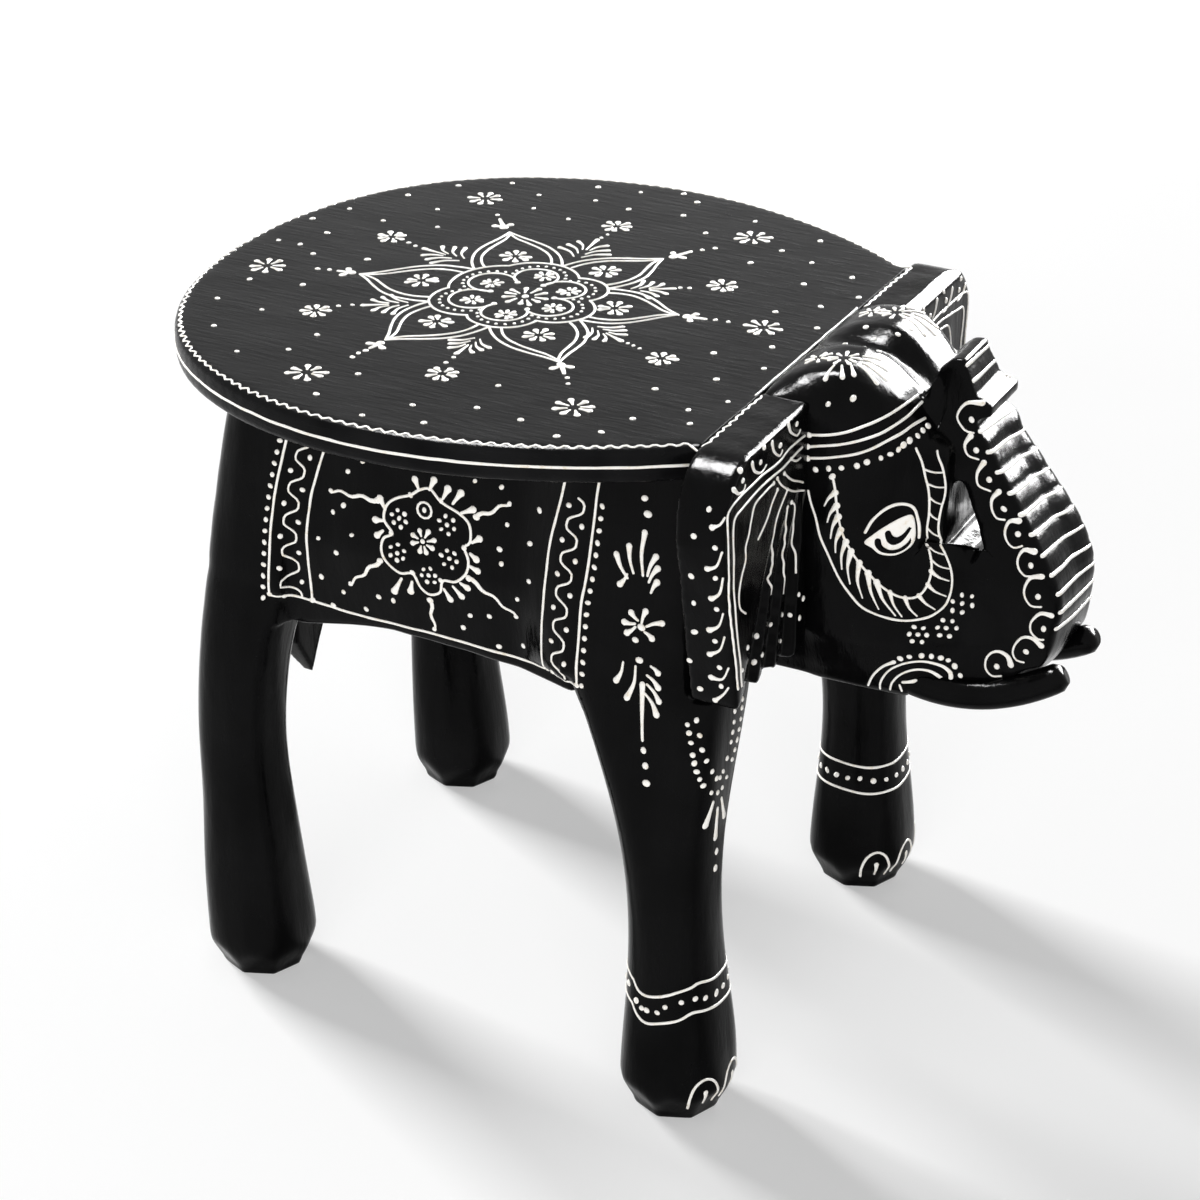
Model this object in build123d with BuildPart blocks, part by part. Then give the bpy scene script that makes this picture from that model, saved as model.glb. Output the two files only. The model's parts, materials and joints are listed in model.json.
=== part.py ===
from build123d import *
import os

# Carved wooden stool in the shape of an elephant, glued up from blocks.
# +X points to the elephant's head, +Y to its left side, +Z up, millimetres.
# The floor is z = 0, and the origin is under the middle of the overall length.
# Lengths along X are from the middle of the seat, and along the trunk from the face.
# Heights of the legs are above the floor, and all other heights are from the
# top of the seat, so that they are negative below it.

# ---- seat board ----
seat_height = 300.0        # floor to the top of the seat
seat_thickness = 15.0
seat_back = 138.7          # middle of the seat to its rearmost edge
seat_chord = 129.0         # middle of the seat to the straight front edge
seat_half_width = 146.2    # widest, across the middle of the seat
seat_chord_half = 101.2    # half the length of the straight front edge
seat_rear_bulge = 102.8    # the rear curve passes this far back and this far out
seat_front_bulge_x = 75.9  # the front curve passes this far forward ...
seat_front_bulge_y = 131.4  # ... and this far out
seat_corner = 4.0          # rounding where the rim meets the straight edge
seat_edge = 2.5            # rounding along the board's rim

# ---- body block ----
belly_bottom = -121.0
belly_half_top = 89.0      # half width under the seat board
belly_half_mid = 95.0      # half width at the fullest height
belly_mid_height = -82.0
rump_back = 113.0          # middle of the seat to the rump
rump_rounding = 46.0       # plan rounding of the rump
notch_half = 58.0          # half the body's width left between two leg posts
front_notch = 70.0         # middle of the seat to the front leg's glued face
rear_notch = 62.0          # middle of the seat to the rear leg's glued face

# ---- legs ----
front_leg_x = 121.6        # foot centres from the middle of the seat
front_leg_y = 97.6
rear_leg_x = 87.2
rear_leg_y = 89.4
foot_width = 46.5          # front feet
rear_foot_width = 45.0
foot_corner = 20.0         # corner rounding of the front foot's section
foot_chamfer = 3.0
ankle_height = 50.0
ankle_width = 42.0
shin_height = 95.0
shin_width = 37.0
knee_height = 145.0
rear_ankle_bow = 2.25      # the rear ankle stands this far behind its foot,
rear_bow = 4.5             # the rear shin this far,
rear_knee_bow = 2.0        # and the rear knee this far
front_knee_back = 91.0     # back of the front leg at knee height
front_leg_front = 138.0    # straight front edge of the front leg
knee_inner = 75.0          # half widths inside and outside the front knee
knee_outer = 113.0
shoulder_outer = 105.0     # half width over the front leg posts at the shoulder
hip_outer = 100.0          # half width over the rear leg posts at the hip
shoulder_top = 93.0        # half width over the front posts under the seat board
hip_top = 90.0             # half width over the rear posts under the seat board
hip_back = 100.0           # rear of the hip
hip_back_top = 90.0        # rear of the hip under the seat board
leg_corner = 13.0          # corner rounding of the legs' upper sections

# ---- ear board ----
ear_thickness = 21.0
ear_half_width = 123.0
ear_top = 1.0
ear_shoulder = 22.0        # rounding of the board's upper corners
ear_bottom = -106.5
ear_bottom_half = 108.0    # half width at the lower outer corners
ear_flare_height = -30.0   # the board narrows below this height
ear_inner_half = 57.0      # inner end of each ear's lower edge
ear_centre_bottom = -107.0
ear_rim = 4.0              # chamfer along the top front edge
pleat_count = 3
pleat_depth = 5.0
pleat_top = -38.0

# ---- head block ----
neck_top = 2.0             # the head's heights at the straight edge of the seat
neck_brow_height = -4.0
neck_rise = 5.0            # the jaw's underside is this much higher there
head_length = 41.0         # ear board to the face
dome_reach = 11.0          # ear board to the highest point of the domes
dome_rise = 3.0            # the domes rise this much from the ear board to their crests
dome_top = 11.0
dome_half = 20.0           # middle plane to the crest of each forehead dome
dome_valley = 4.0
dome_brow_half = 39.0      # half width over the brows at the highest point of the domes
dome_cheek_half = 47.0     # half width over the cheeks there
brow_half = 40.0
brow_height = -2.0
cheek_half = 49.0
cheek_height = -55.0
jaw_half = 43.0
jaw_height = -100.0
jaw_depth = 24.0           # widest height of the jaw to its underside
jaw_bottom_half = 35.0
face_top = 1.0             # the head tapers to these heights and half widths at the face
face_valley = -5.0
face_crest_half = 12.0
face_brow_half = 25.0
face_brow_height = -8.0
face_cheek_half = 28.0
face_jaw_half = 38.0
head_rounding = 7.0

# ---- trunk ----
trunk_half = 21.0          # half width from the mouth to the bulge
trunk_tip_half = 13.0      # half width at the curled-up tip
trunk_taper_height = -55.0  # the trunk narrows above this height
trunk_low_reach = 39.0     # where the trunk turns up out of the chin
trunk_low_rise = 3.0       # its underside there is this much above the jaw's
trunk_reach = 56.5         # front of the bulge
trunk_front_height = -86.0
trunk_chest_reach = 42.0   # between the bulge and the lip
trunk_chest_height = -51.0
trunk_neck_reach = 19.0    # under the carved lip
trunk_neck_height = -17.0
trunk_tip_top = 15.0
trunk_tip_thickness = 8.0
lip_front = 20.0           # carved lip below the tip
lip_top = -2.0
lip_bottom = -9.0
lip_reach = 7.0
lip_thickness = 5.0
gap_top = -34.0            # gap between trunk and face
gap_middle = -60.0
gap_reach = 22.0
gap_bottom_reach = 16.5
gap_rounding = 3.0
gap_floor = 4.0            # the mouth's top to the floor of the gap
mouth_rise = 24.0          # widest height of the jaw to the mouth's top
mouth_top_half = 24.0
mouth_reach = 37.0         # the mouth has narrowed to the trunk's width here
mouth_end_inset = 1.0      # the narrowed mouth stays this far inside the trunk

# ---- tusks ----
tusk_radius = 6.8
tusk_root_half = 29.0      # middle plane to the root of each tusk
tusk_root_rise = 7.0       # the jaw's underside to the middle of the tusk's root
tusk_reach = 58.5          # face to the middle of the blunt tip
tusk_tip_half = 17.5
tusk_tip_rise = 7.0        # the tip is this much higher than the root
tusk_sag = 6.5             # lowest point of the tusk's curve below its straight chord
tusk_point = 4.5           # rounding of the blunt tip
tusk_nose = 1.9            # the tip's rounding reaches this far past the tip's centre
tusk_tenon_radius = 5.0
tusk_tenon_length = 22.0
tusk_clearance = 0.3

# ---- tail ----
tail_width = 24.0
tail_thickness = 13.0
tail_top = -60.0
tail_length = 147.0
tail_point = 20.0          # height of the cut point
tail_edge = 3.0            # cut corners along the tail
tail_tenon_radius = 6.0
tail_tenon_length = 24.0
tail_tenon_drop = 18.0     # top of the tail to the middle of its tenon

# ---- dowels ----
dowel_radius = 4.0
dowel_length = 34.0
dowel_clearance = 0.1
dowel_end_gap = 0.5
dowel_lead = 0.8           # chamfer at the dowels' ends
seat_dowel_depth = 9.0     # how far the seat dowels enter the board
seat_dowel_rear = 28.0     # rump to the rear pair of seat dowels
seat_dowel_front = 34.0    # straight edge of the seat to the front pair
seat_dowel_pitch = 50.0    # between the two dowels of a pair
seat_dowel_side = 29.0     # side of the belly to the dowels beside the middle
leg_dowel_drop = 29.0      # underside of the seat board to the upper leg dowels
leg_dowel_pitch = 40.0     # between the two dowels of a leg
rear_dowel_inset = 17.0    # glued end of the post to the rear leg's dowels
front_dowel_inset = 26.0   # glued end of the post to the front leg's dowels
ear_dowel_inset = 12.0     # side of the body's front end to the ear dowels
ear_dowel_drop = 19.0      # underside of the seat board to the upper ear dowels
ear_dowel_pitch = 50.0
head_dowel_drop = 36.0     # valley between the domes to the upper head dowel
head_dowel_half = 20.0     # middle plane to the lower head dowels
head_dowel_rise = 22.0     # widest height of the jaw to the lower head dowels
trunk_dowel_half = 11.0    # middle plane to the trunk's dowels

# The overall length runs from the seat's rear edge to the tusks' tips.
ear_front = seat_chord + ear_thickness
face = ear_front + head_length
overall_front = face + tusk_reach + tusk_nose
seat_x = (seat_back - overall_front) / 2
seat_under = -seat_thickness
leg_top = seat_height - seat_thickness
hip_height = seat_height + ear_bottom  # the front legs' shoulders carry the ears' lower ends
jaw_bottom = jaw_height - jaw_depth
mouth_top = jaw_height + mouth_rise
trunk_low = jaw_bottom + trunk_low_rise
tail_tip = tail_top - tail_length
right, left = -1, 1


def level(height):
    """Horizontal plane at a height from the seat's top, under the middle of the seat."""
    return Plane((seat_x, 0, seat_height + height))


def across(distance):
    """Plane square to the length: x to the left side, y up from the seat's top."""
    return Plane(origin=(seat_x + distance, 0, seat_height), x_dir=(0, 1, 0), z_dir=(1, 0, 0))


def alongside(distance):
    """Plane parallel to the middle plane: x forward, y up from the seat's top."""
    return Plane(origin=(seat_x, distance, seat_height), x_dir=(1, 0, 0), z_dir=(0, -1, 0))


def point(x, y, z):
    """A point given from the middle of the seat's top."""
    return Vector(seat_x + x, y, seat_height + z)


def above_floor(x, y, z):
    """A point given from the floor under the middle of the seat."""
    return Vector(seat_x + x, y, z)


# ======== dowels ========
def dowel_planes(joint, places):
    """Planes of the dowels' middles: places are given in the joint's own plane."""
    return [joint.shift_origin(joint.from_local_coords((x, y, 0))) for x, y in places]


def drill(planes):
    """Dowel holes across a joint, with a little room round and past each dowel."""
    for plane in planes:
        with Locations(plane):
            Cylinder(
                dowel_radius + dowel_clearance,
                dowel_length + 2 * dowel_end_gap,
                mode=Mode.SUBTRACT,
            )


def dowel_group(planes):
    """A group of loose dowels with chamfered ends."""
    with BuildPart() as group:
        for plane in planes:
            with Locations(plane):
                Cylinder(dowel_radius, dowel_length)
        chamfer(group.edges().filter_by(GeomType.CIRCLE), dowel_lead)
    return group


def both_sides(x, y):
    """A place and its mirror image across the joint's upright axis."""
    return [(-x, y), (x, y)]


seat_joint = level(seat_under + seat_dowel_depth - dowel_length / 2)
seat_pairs = [
    (seat_dowel_rear - rump_back, seat_dowel_pitch / 2),
    (0, belly_half_top - seat_dowel_side),
    (seat_chord - seat_dowel_front, seat_dowel_pitch / 2),
]
seat_pegs = dowel_planes(seat_joint, [(x, side * y) for x, y in seat_pairs for side in (right, left)])

leg_upper = seat_under - leg_dowel_drop
post_places = [
    (x, height)
    for x in (-rear_notch - rear_dowel_inset, front_notch + front_dowel_inset)
    for height in (leg_upper - leg_dowel_pitch, leg_upper)
]
right_leg_pegs = dowel_planes(alongside(right * notch_half), post_places)
left_leg_pegs = dowel_planes(alongside(left * notch_half), post_places)
leg_pegs = right_leg_pegs + left_leg_pegs

ear_upper = seat_under - ear_dowel_drop
ear_dowel_half = notch_half - ear_dowel_inset
ear_places = both_sides(ear_dowel_half, ear_upper) + both_sides(ear_dowel_half, ear_upper - ear_dowel_pitch)
ear_pegs = dowel_planes(across(seat_chord), ear_places)

head_places = both_sides(head_dowel_half, jaw_height + head_dowel_rise)
head_places.append((0, dome_valley - head_dowel_drop))
head_pegs = dowel_planes(across(ear_front), head_places)
trunk_pegs = dowel_planes(across(face), both_sides(trunk_dowel_half, jaw_height))


def seat_outline(plane):
    """D-shaped outline of the seat: one curve round the back, and a straight front edge."""
    left_points = [
        (seat_chord, seat_chord_half),
        (seat_front_bulge_x, seat_front_bulge_y),
        (0, seat_half_width),
        (-seat_rear_bulge, seat_rear_bulge),
    ]
    right_points = [(x, -y) for x, y in reversed(left_points)]
    with BuildSketch(plane) as outline:
        with BuildLine():
            rim = Spline(*left_points, (-seat_back, 0), *right_points)
            Line(rim @ 0, rim @ 1)
        make_face()
    return outline.sketch


# ======== seat board ========
with BuildPart() as seat_board:
    extrude(seat_outline(level(seat_under)), amount=seat_thickness)
    fillet(seat_board.edges().filter_by(Axis.Z), seat_corner)
    fillet(seat_board.edges().filter_by(Plane.XY), seat_edge)
    drill(seat_pegs)


# ======== body block ========
with BuildPart() as body_block:
    with BuildSketch(across(-rump_back)):
        with BuildLine():
            Polyline(
                (0, seat_under),
                (belly_half_top, seat_under),
                (belly_half_mid, belly_mid_height),
                (belly_half_top, belly_bottom),
                (0, belly_bottom),
            )
            mirror(about=Plane.YZ)
        make_face()
    extrude(amount=rump_back + seat_chord)
    rump_edges = body_block.edges().filter_by(
        lambda edge: abs(edge.center().Y) > notch_half
    ).group_by(Axis.X)[0]
    fillet(rump_edges, rump_rounding)
    # Square notches at the four corners take the leg posts.
    notch_width = belly_half_mid - notch_half
    with BuildSketch(level(belly_bottom)):
        for side in (right, left):
            notch_y = side * (notch_half + notch_width / 2)
            with Locations(((front_notch + seat_chord) / 2, notch_y)):
                Rectangle(seat_chord - front_notch, notch_width)
            with Locations((-(rear_notch + rump_back) / 2, notch_y)):
                Rectangle(rump_back - rear_notch, notch_width)
    extrude(amount=seat_under - belly_bottom, mode=Mode.SUBTRACT)
    with Locations(Plane(point(-rump_back, 0, tail_top - tail_tenon_drop), z_dir=(1, 0, 0))):
        Cylinder(
            tail_tenon_radius + dowel_clearance,
            tail_tenon_length + dowel_end_gap,
            align=(Align.CENTER, Align.CENTER, Align.MIN),
            mode=Mode.SUBTRACT,
        )
    drill(seat_pegs + ear_pegs + leg_pegs)


# ======== legs ========
def leg_section(height, back, front, inner, outer):
    """Rounded rectangle of a right leg at a height, between two lengths and two half widths."""
    middle = above_floor((back + front) / 2, right * (inner + outer) / 2, height)
    with BuildSketch(Plane(middle)) as section:
        RectangleRounded(front - back, outer - inner, leg_corner)
    return section.sketch


def round_section(height, x, y, width):
    """Foot, ankle or shin: as wide as it is long, with well rounded corners."""
    with BuildSketch(Plane(above_floor(x, right * y, height))) as section:
        RectangleRounded(width, width, foot_corner * width / foot_width)
    return section.sketch


def post_section(height, glued, end, outer):
    """Leg post in the body's notch: square where it is glued, rounded at its outer corner."""
    middle = above_floor((glued + end) / 2, right * (notch_half + outer) / 2, height)
    with BuildSketch(Plane(middle)) as section:
        Rectangle(abs(end - glued), outer - notch_half)
        outer_corner = (end - glued, right * (outer - notch_half), 0)
        fillet(section.vertices().sort_by_distance(outer_corner)[0], leg_corner)
    return section.sketch


def cut_sole(leg):
    """Chamfer round the foot's sole."""
    chamfer(leg.faces().sort_by(Axis.Z)[0].edges(), foot_chamfer)


with BuildPart() as rear_right_leg:
    loft(
        [
            round_section(0, -rear_leg_x, rear_leg_y, rear_foot_width),
            round_section(ankle_height, -rear_leg_x - rear_ankle_bow, rear_leg_y, ankle_width),
            round_section(shin_height, -rear_leg_x - rear_bow, rear_leg_y, shin_width),
            round_section(knee_height, -rear_leg_x - rear_knee_bow, rear_leg_y, shin_width),
            leg_section(hip_height, -hip_back, -rear_notch, notch_half, hip_outer),
        ]
    )
    cut_sole(rear_right_leg)
    loft(
        [
            post_section(hip_height, -rear_notch, -hip_back, hip_outer),
            post_section(leg_top, -rear_notch, -hip_back_top, hip_top),
        ]
    )
    drill(right_leg_pegs)

with BuildPart() as front_right_leg:
    loft(
        [
            round_section(0, front_leg_x, front_leg_y, foot_width),
            round_section(ankle_height, front_leg_x, front_leg_y, ankle_width),
            round_section(shin_height, front_leg_front - shin_width / 2, front_leg_y, shin_width),
            leg_section(knee_height, front_knee_back, front_leg_front, knee_inner, knee_outer),
            leg_section(hip_height, front_notch, front_leg_front, notch_half, shoulder_outer),
        ]
    )
    cut_sole(front_right_leg)
    loft(
        [
            post_section(hip_height, front_notch, seat_chord, shoulder_outer),
            post_section(leg_top, front_notch, seat_chord, shoulder_top),
        ]
    )
    drill(right_leg_pegs)

with BuildPart() as rear_left_leg:
    mirror(rear_right_leg.part, about=Plane.XZ)

with BuildPart() as front_left_leg:
    mirror(front_right_leg.part, about=Plane.XZ)


# ======== ear board ========
def head_section(distance, half_outline):
    """Closed section of the head from its left half, from the middle of the top down."""
    with BuildSketch(across(distance)) as section:
        with BuildLine():
            Polyline(*half_outline)
            mirror(about=Plane.YZ)
        make_face()
        fillet(section.vertices().filter_by(lambda corner: abs(corner.X) > head_rounding), head_rounding)
    return section.sketch


def head_at_neck():
    """Section where the head starts at the straight front edge of the seat."""
    return head_section(
        seat_chord,
        [
            (0, neck_top),
            (dome_half, neck_top),
            (brow_half, neck_brow_height),
            (cheek_half, cheek_height),
            (jaw_half, jaw_height),
            (jaw_bottom_half, jaw_bottom + neck_rise),
            (0, jaw_bottom + neck_rise),
        ],
    )


def head_at_ears():
    """Section where the head leaves the front of the ear board."""
    return head_section(
        ear_front,
        [
            (0, dome_valley),
            (dome_half, dome_top - dome_rise),
            (brow_half, brow_height),
            (cheek_half, cheek_height),
            (jaw_half, jaw_height),
            (jaw_bottom_half, jaw_bottom),
            (0, jaw_bottom),
        ],
    )


pleat_width = (ear_bottom_half - ear_inner_half) / pleat_count
pleat_edges = [ear_inner_half + pleat_width * (i + 1) for i in range(pleat_count)]

with BuildPart() as ear_board:
    with BuildSketch(across(seat_chord)) as ear_front_view:
        with BuildLine():
            Polyline(
                (0, ear_top),
                (ear_half_width, ear_top),
                (ear_half_width, ear_flare_height),
                (ear_bottom_half, ear_bottom),
                (ear_inner_half, ear_bottom),
                (ear_inner_half, ear_centre_bottom),
                (0, ear_centre_bottom),
            )
            mirror(about=Plane.YZ)
        make_face()
        top_corners = ear_front_view.vertices().group_by(Axis.Y)[-1].sort_by(Axis.X)
        fillet([top_corners[0], top_corners[-1]], ear_shoulder)
    extrude(amount=ear_thickness)
    top_front_edge = ear_board.edges().group_by(Axis.X)[-1].sort_by(Axis.Z)[-1]
    chamfer(top_front_edge, ear_rim)
    # Each pleat slopes back towards the head and ends in a step.
    with BuildSketch(level(ear_bottom)):
        for side in (right, left):
            for outer_edge in pleat_edges:
                inner_edge = outer_edge - pleat_width
                Polygon(
                    (ear_front, side * outer_edge),
                    (ear_front, side * inner_edge),
                    (ear_front - pleat_depth, side * inner_edge),
                    align=None,
                )
    extrude(amount=pleat_top - ear_bottom, mode=Mode.SUBTRACT)
    # The neck: domes and jaw start at the seat's front edge and grow through the board.
    loft([head_at_neck(), head_at_ears()])
    drill(ear_pegs + head_pegs)


# ======== tusks ========
def tusk_body(side, clearance):
    """Tusk curved in an upright plane, with its tenon; with a clearance, the cavity it sits in."""
    run = Vector(tusk_reach, side * (tusk_tip_half - tusk_root_half), 0)
    upright = Plane(
        origin=point(face, side * tusk_root_half, jaw_bottom + tusk_root_rise),
        x_dir=run,
        z_dir=run.cross(Vector(0, 0, 1)),
    )
    with BuildPart() as tusk:
        with BuildLine(upright) as path:
            ThreePointArc(
                (0, 0),
                (run.length / 2, tusk_tip_rise / 2 - tusk_sag),
                (run.length, tusk_tip_rise),
            )
        with BuildSketch(Plane(path.line @ 0, z_dir=path.line % 0)):
            Circle(tusk_radius + clearance)
        sweep(path=path.line)
        tip = tusk.faces().sort_by(Axis.X)[-1]
        if clearance == 0:
            fillet(tip.edges(), tusk_point)
        with BuildSketch(Plane(path.line @ 0, z_dir=-(path.line % 0))):
            Circle(tusk_tenon_radius + clearance)
        extrude(amount=tusk_tenon_length + clearance)
    return tusk


tusk_right = tusk_body(right, 0)
tusk_left = tusk_body(left, 0)


def clear_tusks():
    """Sockets and grooves that the tusks sit in."""
    for side in (right, left):
        add(tusk_body(side, tusk_clearance).part, mode=Mode.SUBTRACT)


# ======== head block ========
with BuildPart() as head_block:
    loft(
        [
            head_at_ears(),
            head_section(
                ear_front + dome_reach,
                [
                    (0, dome_valley),
                    (dome_half, dome_top),
                    (dome_brow_half, brow_height),
                    (dome_cheek_half, cheek_height),
                    (jaw_half, jaw_height),
                    (jaw_bottom_half, jaw_bottom),
                    (0, jaw_bottom),
                ],
            ),
            head_section(
                face,
                [
                    (0, face_valley),
                    (face_crest_half, face_top),
                    (face_brow_half, face_brow_height),
                    (face_cheek_half, cheek_height),
                    (face_jaw_half, jaw_height),
                    (jaw_bottom_half, jaw_bottom),
                    (0, jaw_bottom),
                ],
            ),
        ]
    )
    clear_tusks()
    drill(head_pegs + trunk_pegs)


# ======== trunk ========
with BuildPart() as trunk:
    with BuildSketch(alongside(0)) as side_view:
        with BuildLine():
            bulge = Spline(
                (face + trunk_low_reach, trunk_low),
                (face + trunk_reach, trunk_front_height),
                (face + trunk_chest_reach, trunk_chest_height),
                (face + trunk_neck_reach, trunk_neck_height),
            )
            Polyline(
                bulge @ 1,
                (face + lip_front - lip_reach, lip_bottom),
                (face + lip_front, lip_bottom + lip_thickness / 2),
                (face + lip_front, lip_top),
                (face + lip_front - lip_reach, lip_top + lip_thickness / 2),
                (face + trunk_tip_thickness, trunk_tip_top - trunk_tip_thickness / 2),
                (face + trunk_tip_thickness / 2, trunk_tip_top),
                (face, trunk_tip_top - trunk_tip_thickness / 2),
                (face, jaw_bottom),
                bulge @ 0,
            )
        make_face()
    extrude(amount=trunk_half, both=True)
    # Seen from the front the trunk narrows to its curled tip.
    with BuildSketch(across(face)):
        with BuildLine():
            Polyline(
                (0, jaw_bottom),
                (trunk_half, jaw_bottom),
                (trunk_half, trunk_taper_height),
                (trunk_tip_half, trunk_tip_top),
                (0, trunk_tip_top),
            )
            mirror(about=Plane.YZ)
        make_face()
    extrude(amount=overall_front - face, mode=Mode.INTERSECT)
    loft(
        [
            head_section(
                face,
                [
                    (0, mouth_top),
                    (mouth_top_half, mouth_top),
                    (face_jaw_half, jaw_height),
                    (jaw_bottom_half, jaw_bottom),
                    (0, jaw_bottom),
                ],
            ),
            head_section(
                face + mouth_reach,
                [
                    (0, mouth_top - head_rounding),
                    (trunk_half - mouth_end_inset, mouth_top - head_rounding),
                    (trunk_half, jaw_height + mouth_end_inset),
                    (trunk_half - mouth_end_inset, trunk_low + mouth_end_inset),
                    (0, trunk_low + mouth_end_inset),
                ],
            ),
        ]
    )
    # The gap behind the curled trunk.
    with BuildSketch(alongside(0)) as gap_view:
        Polygon(
            (face, gap_top),
            (face + gap_reach / 2, gap_top),
            (face + gap_reach, gap_middle),
            (face + gap_bottom_reach, mouth_top + gap_floor),
            (face, mouth_top + gap_floor),
            align=None,
        )
        inner_corners = gap_view.vertices().filter_by(lambda corner: corner.X > face + gap_rounding)
        fillet(inner_corners, gap_rounding)
    extrude(amount=face_jaw_half + head_rounding, both=True, mode=Mode.SUBTRACT)
    clear_tusks()
    drill(trunk_pegs)


# ======== tail ========
with BuildPart() as tail:
    with BuildSketch(across(-rump_back)):
        with BuildLine():
            Polyline(
                (0, tail_top),
                (tail_width / 2, tail_top),
                (tail_width / 2, tail_tip + tail_point),
                (0, tail_tip),
            )
            mirror(about=Plane.YZ)
        make_face()
    extrude(amount=-tail_thickness)
    rear_edges = tail.edges().filter_by(Axis.Z).group_by(Axis.X)[0]
    chamfer(rear_edges, tail_edge)
    # The tip is also cut forwards from its rear face.
    with BuildSketch(alongside(0)):
        Polygon(
            (-rump_back - tail_thickness, tail_tip),
            (-rump_back - tail_thickness / 2, tail_tip),
            (-rump_back - tail_thickness, tail_tip + tail_point),
            align=None,
        )
    extrude(amount=tail_width, both=True, mode=Mode.SUBTRACT)
    with Locations(Plane(point(-rump_back, 0, tail_top - tail_tenon_drop), z_dir=(1, 0, 0))):
        Cylinder(tail_tenon_radius, tail_tenon_length, align=(Align.CENTER, Align.CENTER, Align.MIN))


seat_dowels = dowel_group(seat_pegs)
leg_dowels = dowel_group(leg_pegs)
ear_dowels = dowel_group(ear_pegs)
head_dowels = dowel_group(head_pegs)
trunk_dowels = dowel_group(trunk_pegs)


# ======== export ========
os.makedirs("parts", exist_ok=True)

seat_board.part.label = "seat_board"
export_step(seat_board.part, "parts/seat_board.step")
body_block.part.label = "body_block"
export_step(body_block.part, "parts/body_block.step")
front_right_leg.part.label = "front_right_leg"
export_step(front_right_leg.part, "parts/front_right_leg.step")
front_left_leg.part.label = "front_left_leg"
export_step(front_left_leg.part, "parts/front_left_leg.step")
rear_right_leg.part.label = "rear_right_leg"
export_step(rear_right_leg.part, "parts/rear_right_leg.step")
rear_left_leg.part.label = "rear_left_leg"
export_step(rear_left_leg.part, "parts/rear_left_leg.step")
ear_board.part.label = "ear_board"
export_step(ear_board.part, "parts/ear_board.step")
head_block.part.label = "head_block"
export_step(head_block.part, "parts/head_block.step")
trunk.part.label = "trunk"
export_step(trunk.part, "parts/trunk.step")
tusk_right.part.label = "tusk_right"
export_step(tusk_right.part, "parts/tusk_right.step")
tusk_left.part.label = "tusk_left"
export_step(tusk_left.part, "parts/tusk_left.step")
tail.part.label = "tail"
export_step(tail.part, "parts/tail.step")
seat_dowels.part.label = "seat_dowels"
export_step(seat_dowels.part, "parts/seat_dowels.step")
leg_dowels.part.label = "leg_dowels"
export_step(leg_dowels.part, "parts/leg_dowels.step")
ear_dowels.part.label = "ear_dowels"
export_step(ear_dowels.part, "parts/ear_dowels.step")
head_dowels.part.label = "head_dowels"
export_step(head_dowels.part, "parts/head_dowels.step")
trunk_dowels.part.label = "trunk_dowels"
export_step(trunk_dowels.part, "parts/trunk_dowels.step")
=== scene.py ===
"""Carved elephant stool in black lacquer with raised cream ornament, dressed over its CAD frame."""
import json
import math
import random

import bmesh
import bpy
import numpy as np
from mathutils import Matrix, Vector, noise
from mathutils.bvhtree import BVHTree


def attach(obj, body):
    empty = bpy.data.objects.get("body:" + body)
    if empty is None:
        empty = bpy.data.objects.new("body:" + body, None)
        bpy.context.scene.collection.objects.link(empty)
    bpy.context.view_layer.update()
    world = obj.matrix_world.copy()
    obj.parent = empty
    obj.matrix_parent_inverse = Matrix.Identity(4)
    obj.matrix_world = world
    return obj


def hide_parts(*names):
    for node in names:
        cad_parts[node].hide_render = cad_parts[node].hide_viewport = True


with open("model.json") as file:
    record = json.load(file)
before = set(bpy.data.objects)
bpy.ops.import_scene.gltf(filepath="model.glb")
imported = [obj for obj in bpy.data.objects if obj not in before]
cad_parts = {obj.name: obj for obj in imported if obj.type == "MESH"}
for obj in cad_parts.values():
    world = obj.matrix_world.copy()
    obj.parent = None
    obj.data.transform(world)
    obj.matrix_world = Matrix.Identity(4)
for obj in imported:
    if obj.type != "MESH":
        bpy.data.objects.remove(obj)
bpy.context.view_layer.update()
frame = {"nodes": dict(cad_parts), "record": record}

MM = 0.001
SEAT = next(m for m in frame["record"]["mounts"] if m["name"] == "seat_top")["pos_m"]
ORIGIN = np.array([SEAT[0], 0.0, 0.0])

# Places are in millimetres from the floor under the middle of the seat:
# x to the head, y to the elephant's left, z up. RIGHT and LEFT are the signs of y.
RIGHT, LEFT = -1, 1
SEAT_FACE, SEAT_UNDER = 299.95, 285.0  # heights of the seat's two faces
SEAT_CHORD = 129.0  # distance to the seat's straight edge at the neck
EAR_FRONT = 150.0
FACE = 191.0  # distance to the front of the face, beside the trunk
BELLY_BOTTOM = 179.0
EAR_BOTTOM = 193.5


def at(x, y, z):
    """World place of a point given in millimetres."""
    return Vector((SEAT[0] + x * MM, y * MM, z * MM))


def ramp(value, low, high):
    """Smooth step from 0 at low to 1 at high; it also takes arrays."""
    share = np.clip((np.asarray(value, float) - low) / (high - low), 0.0, 1.0)
    return share * share * (3 - 2 * share)


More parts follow.
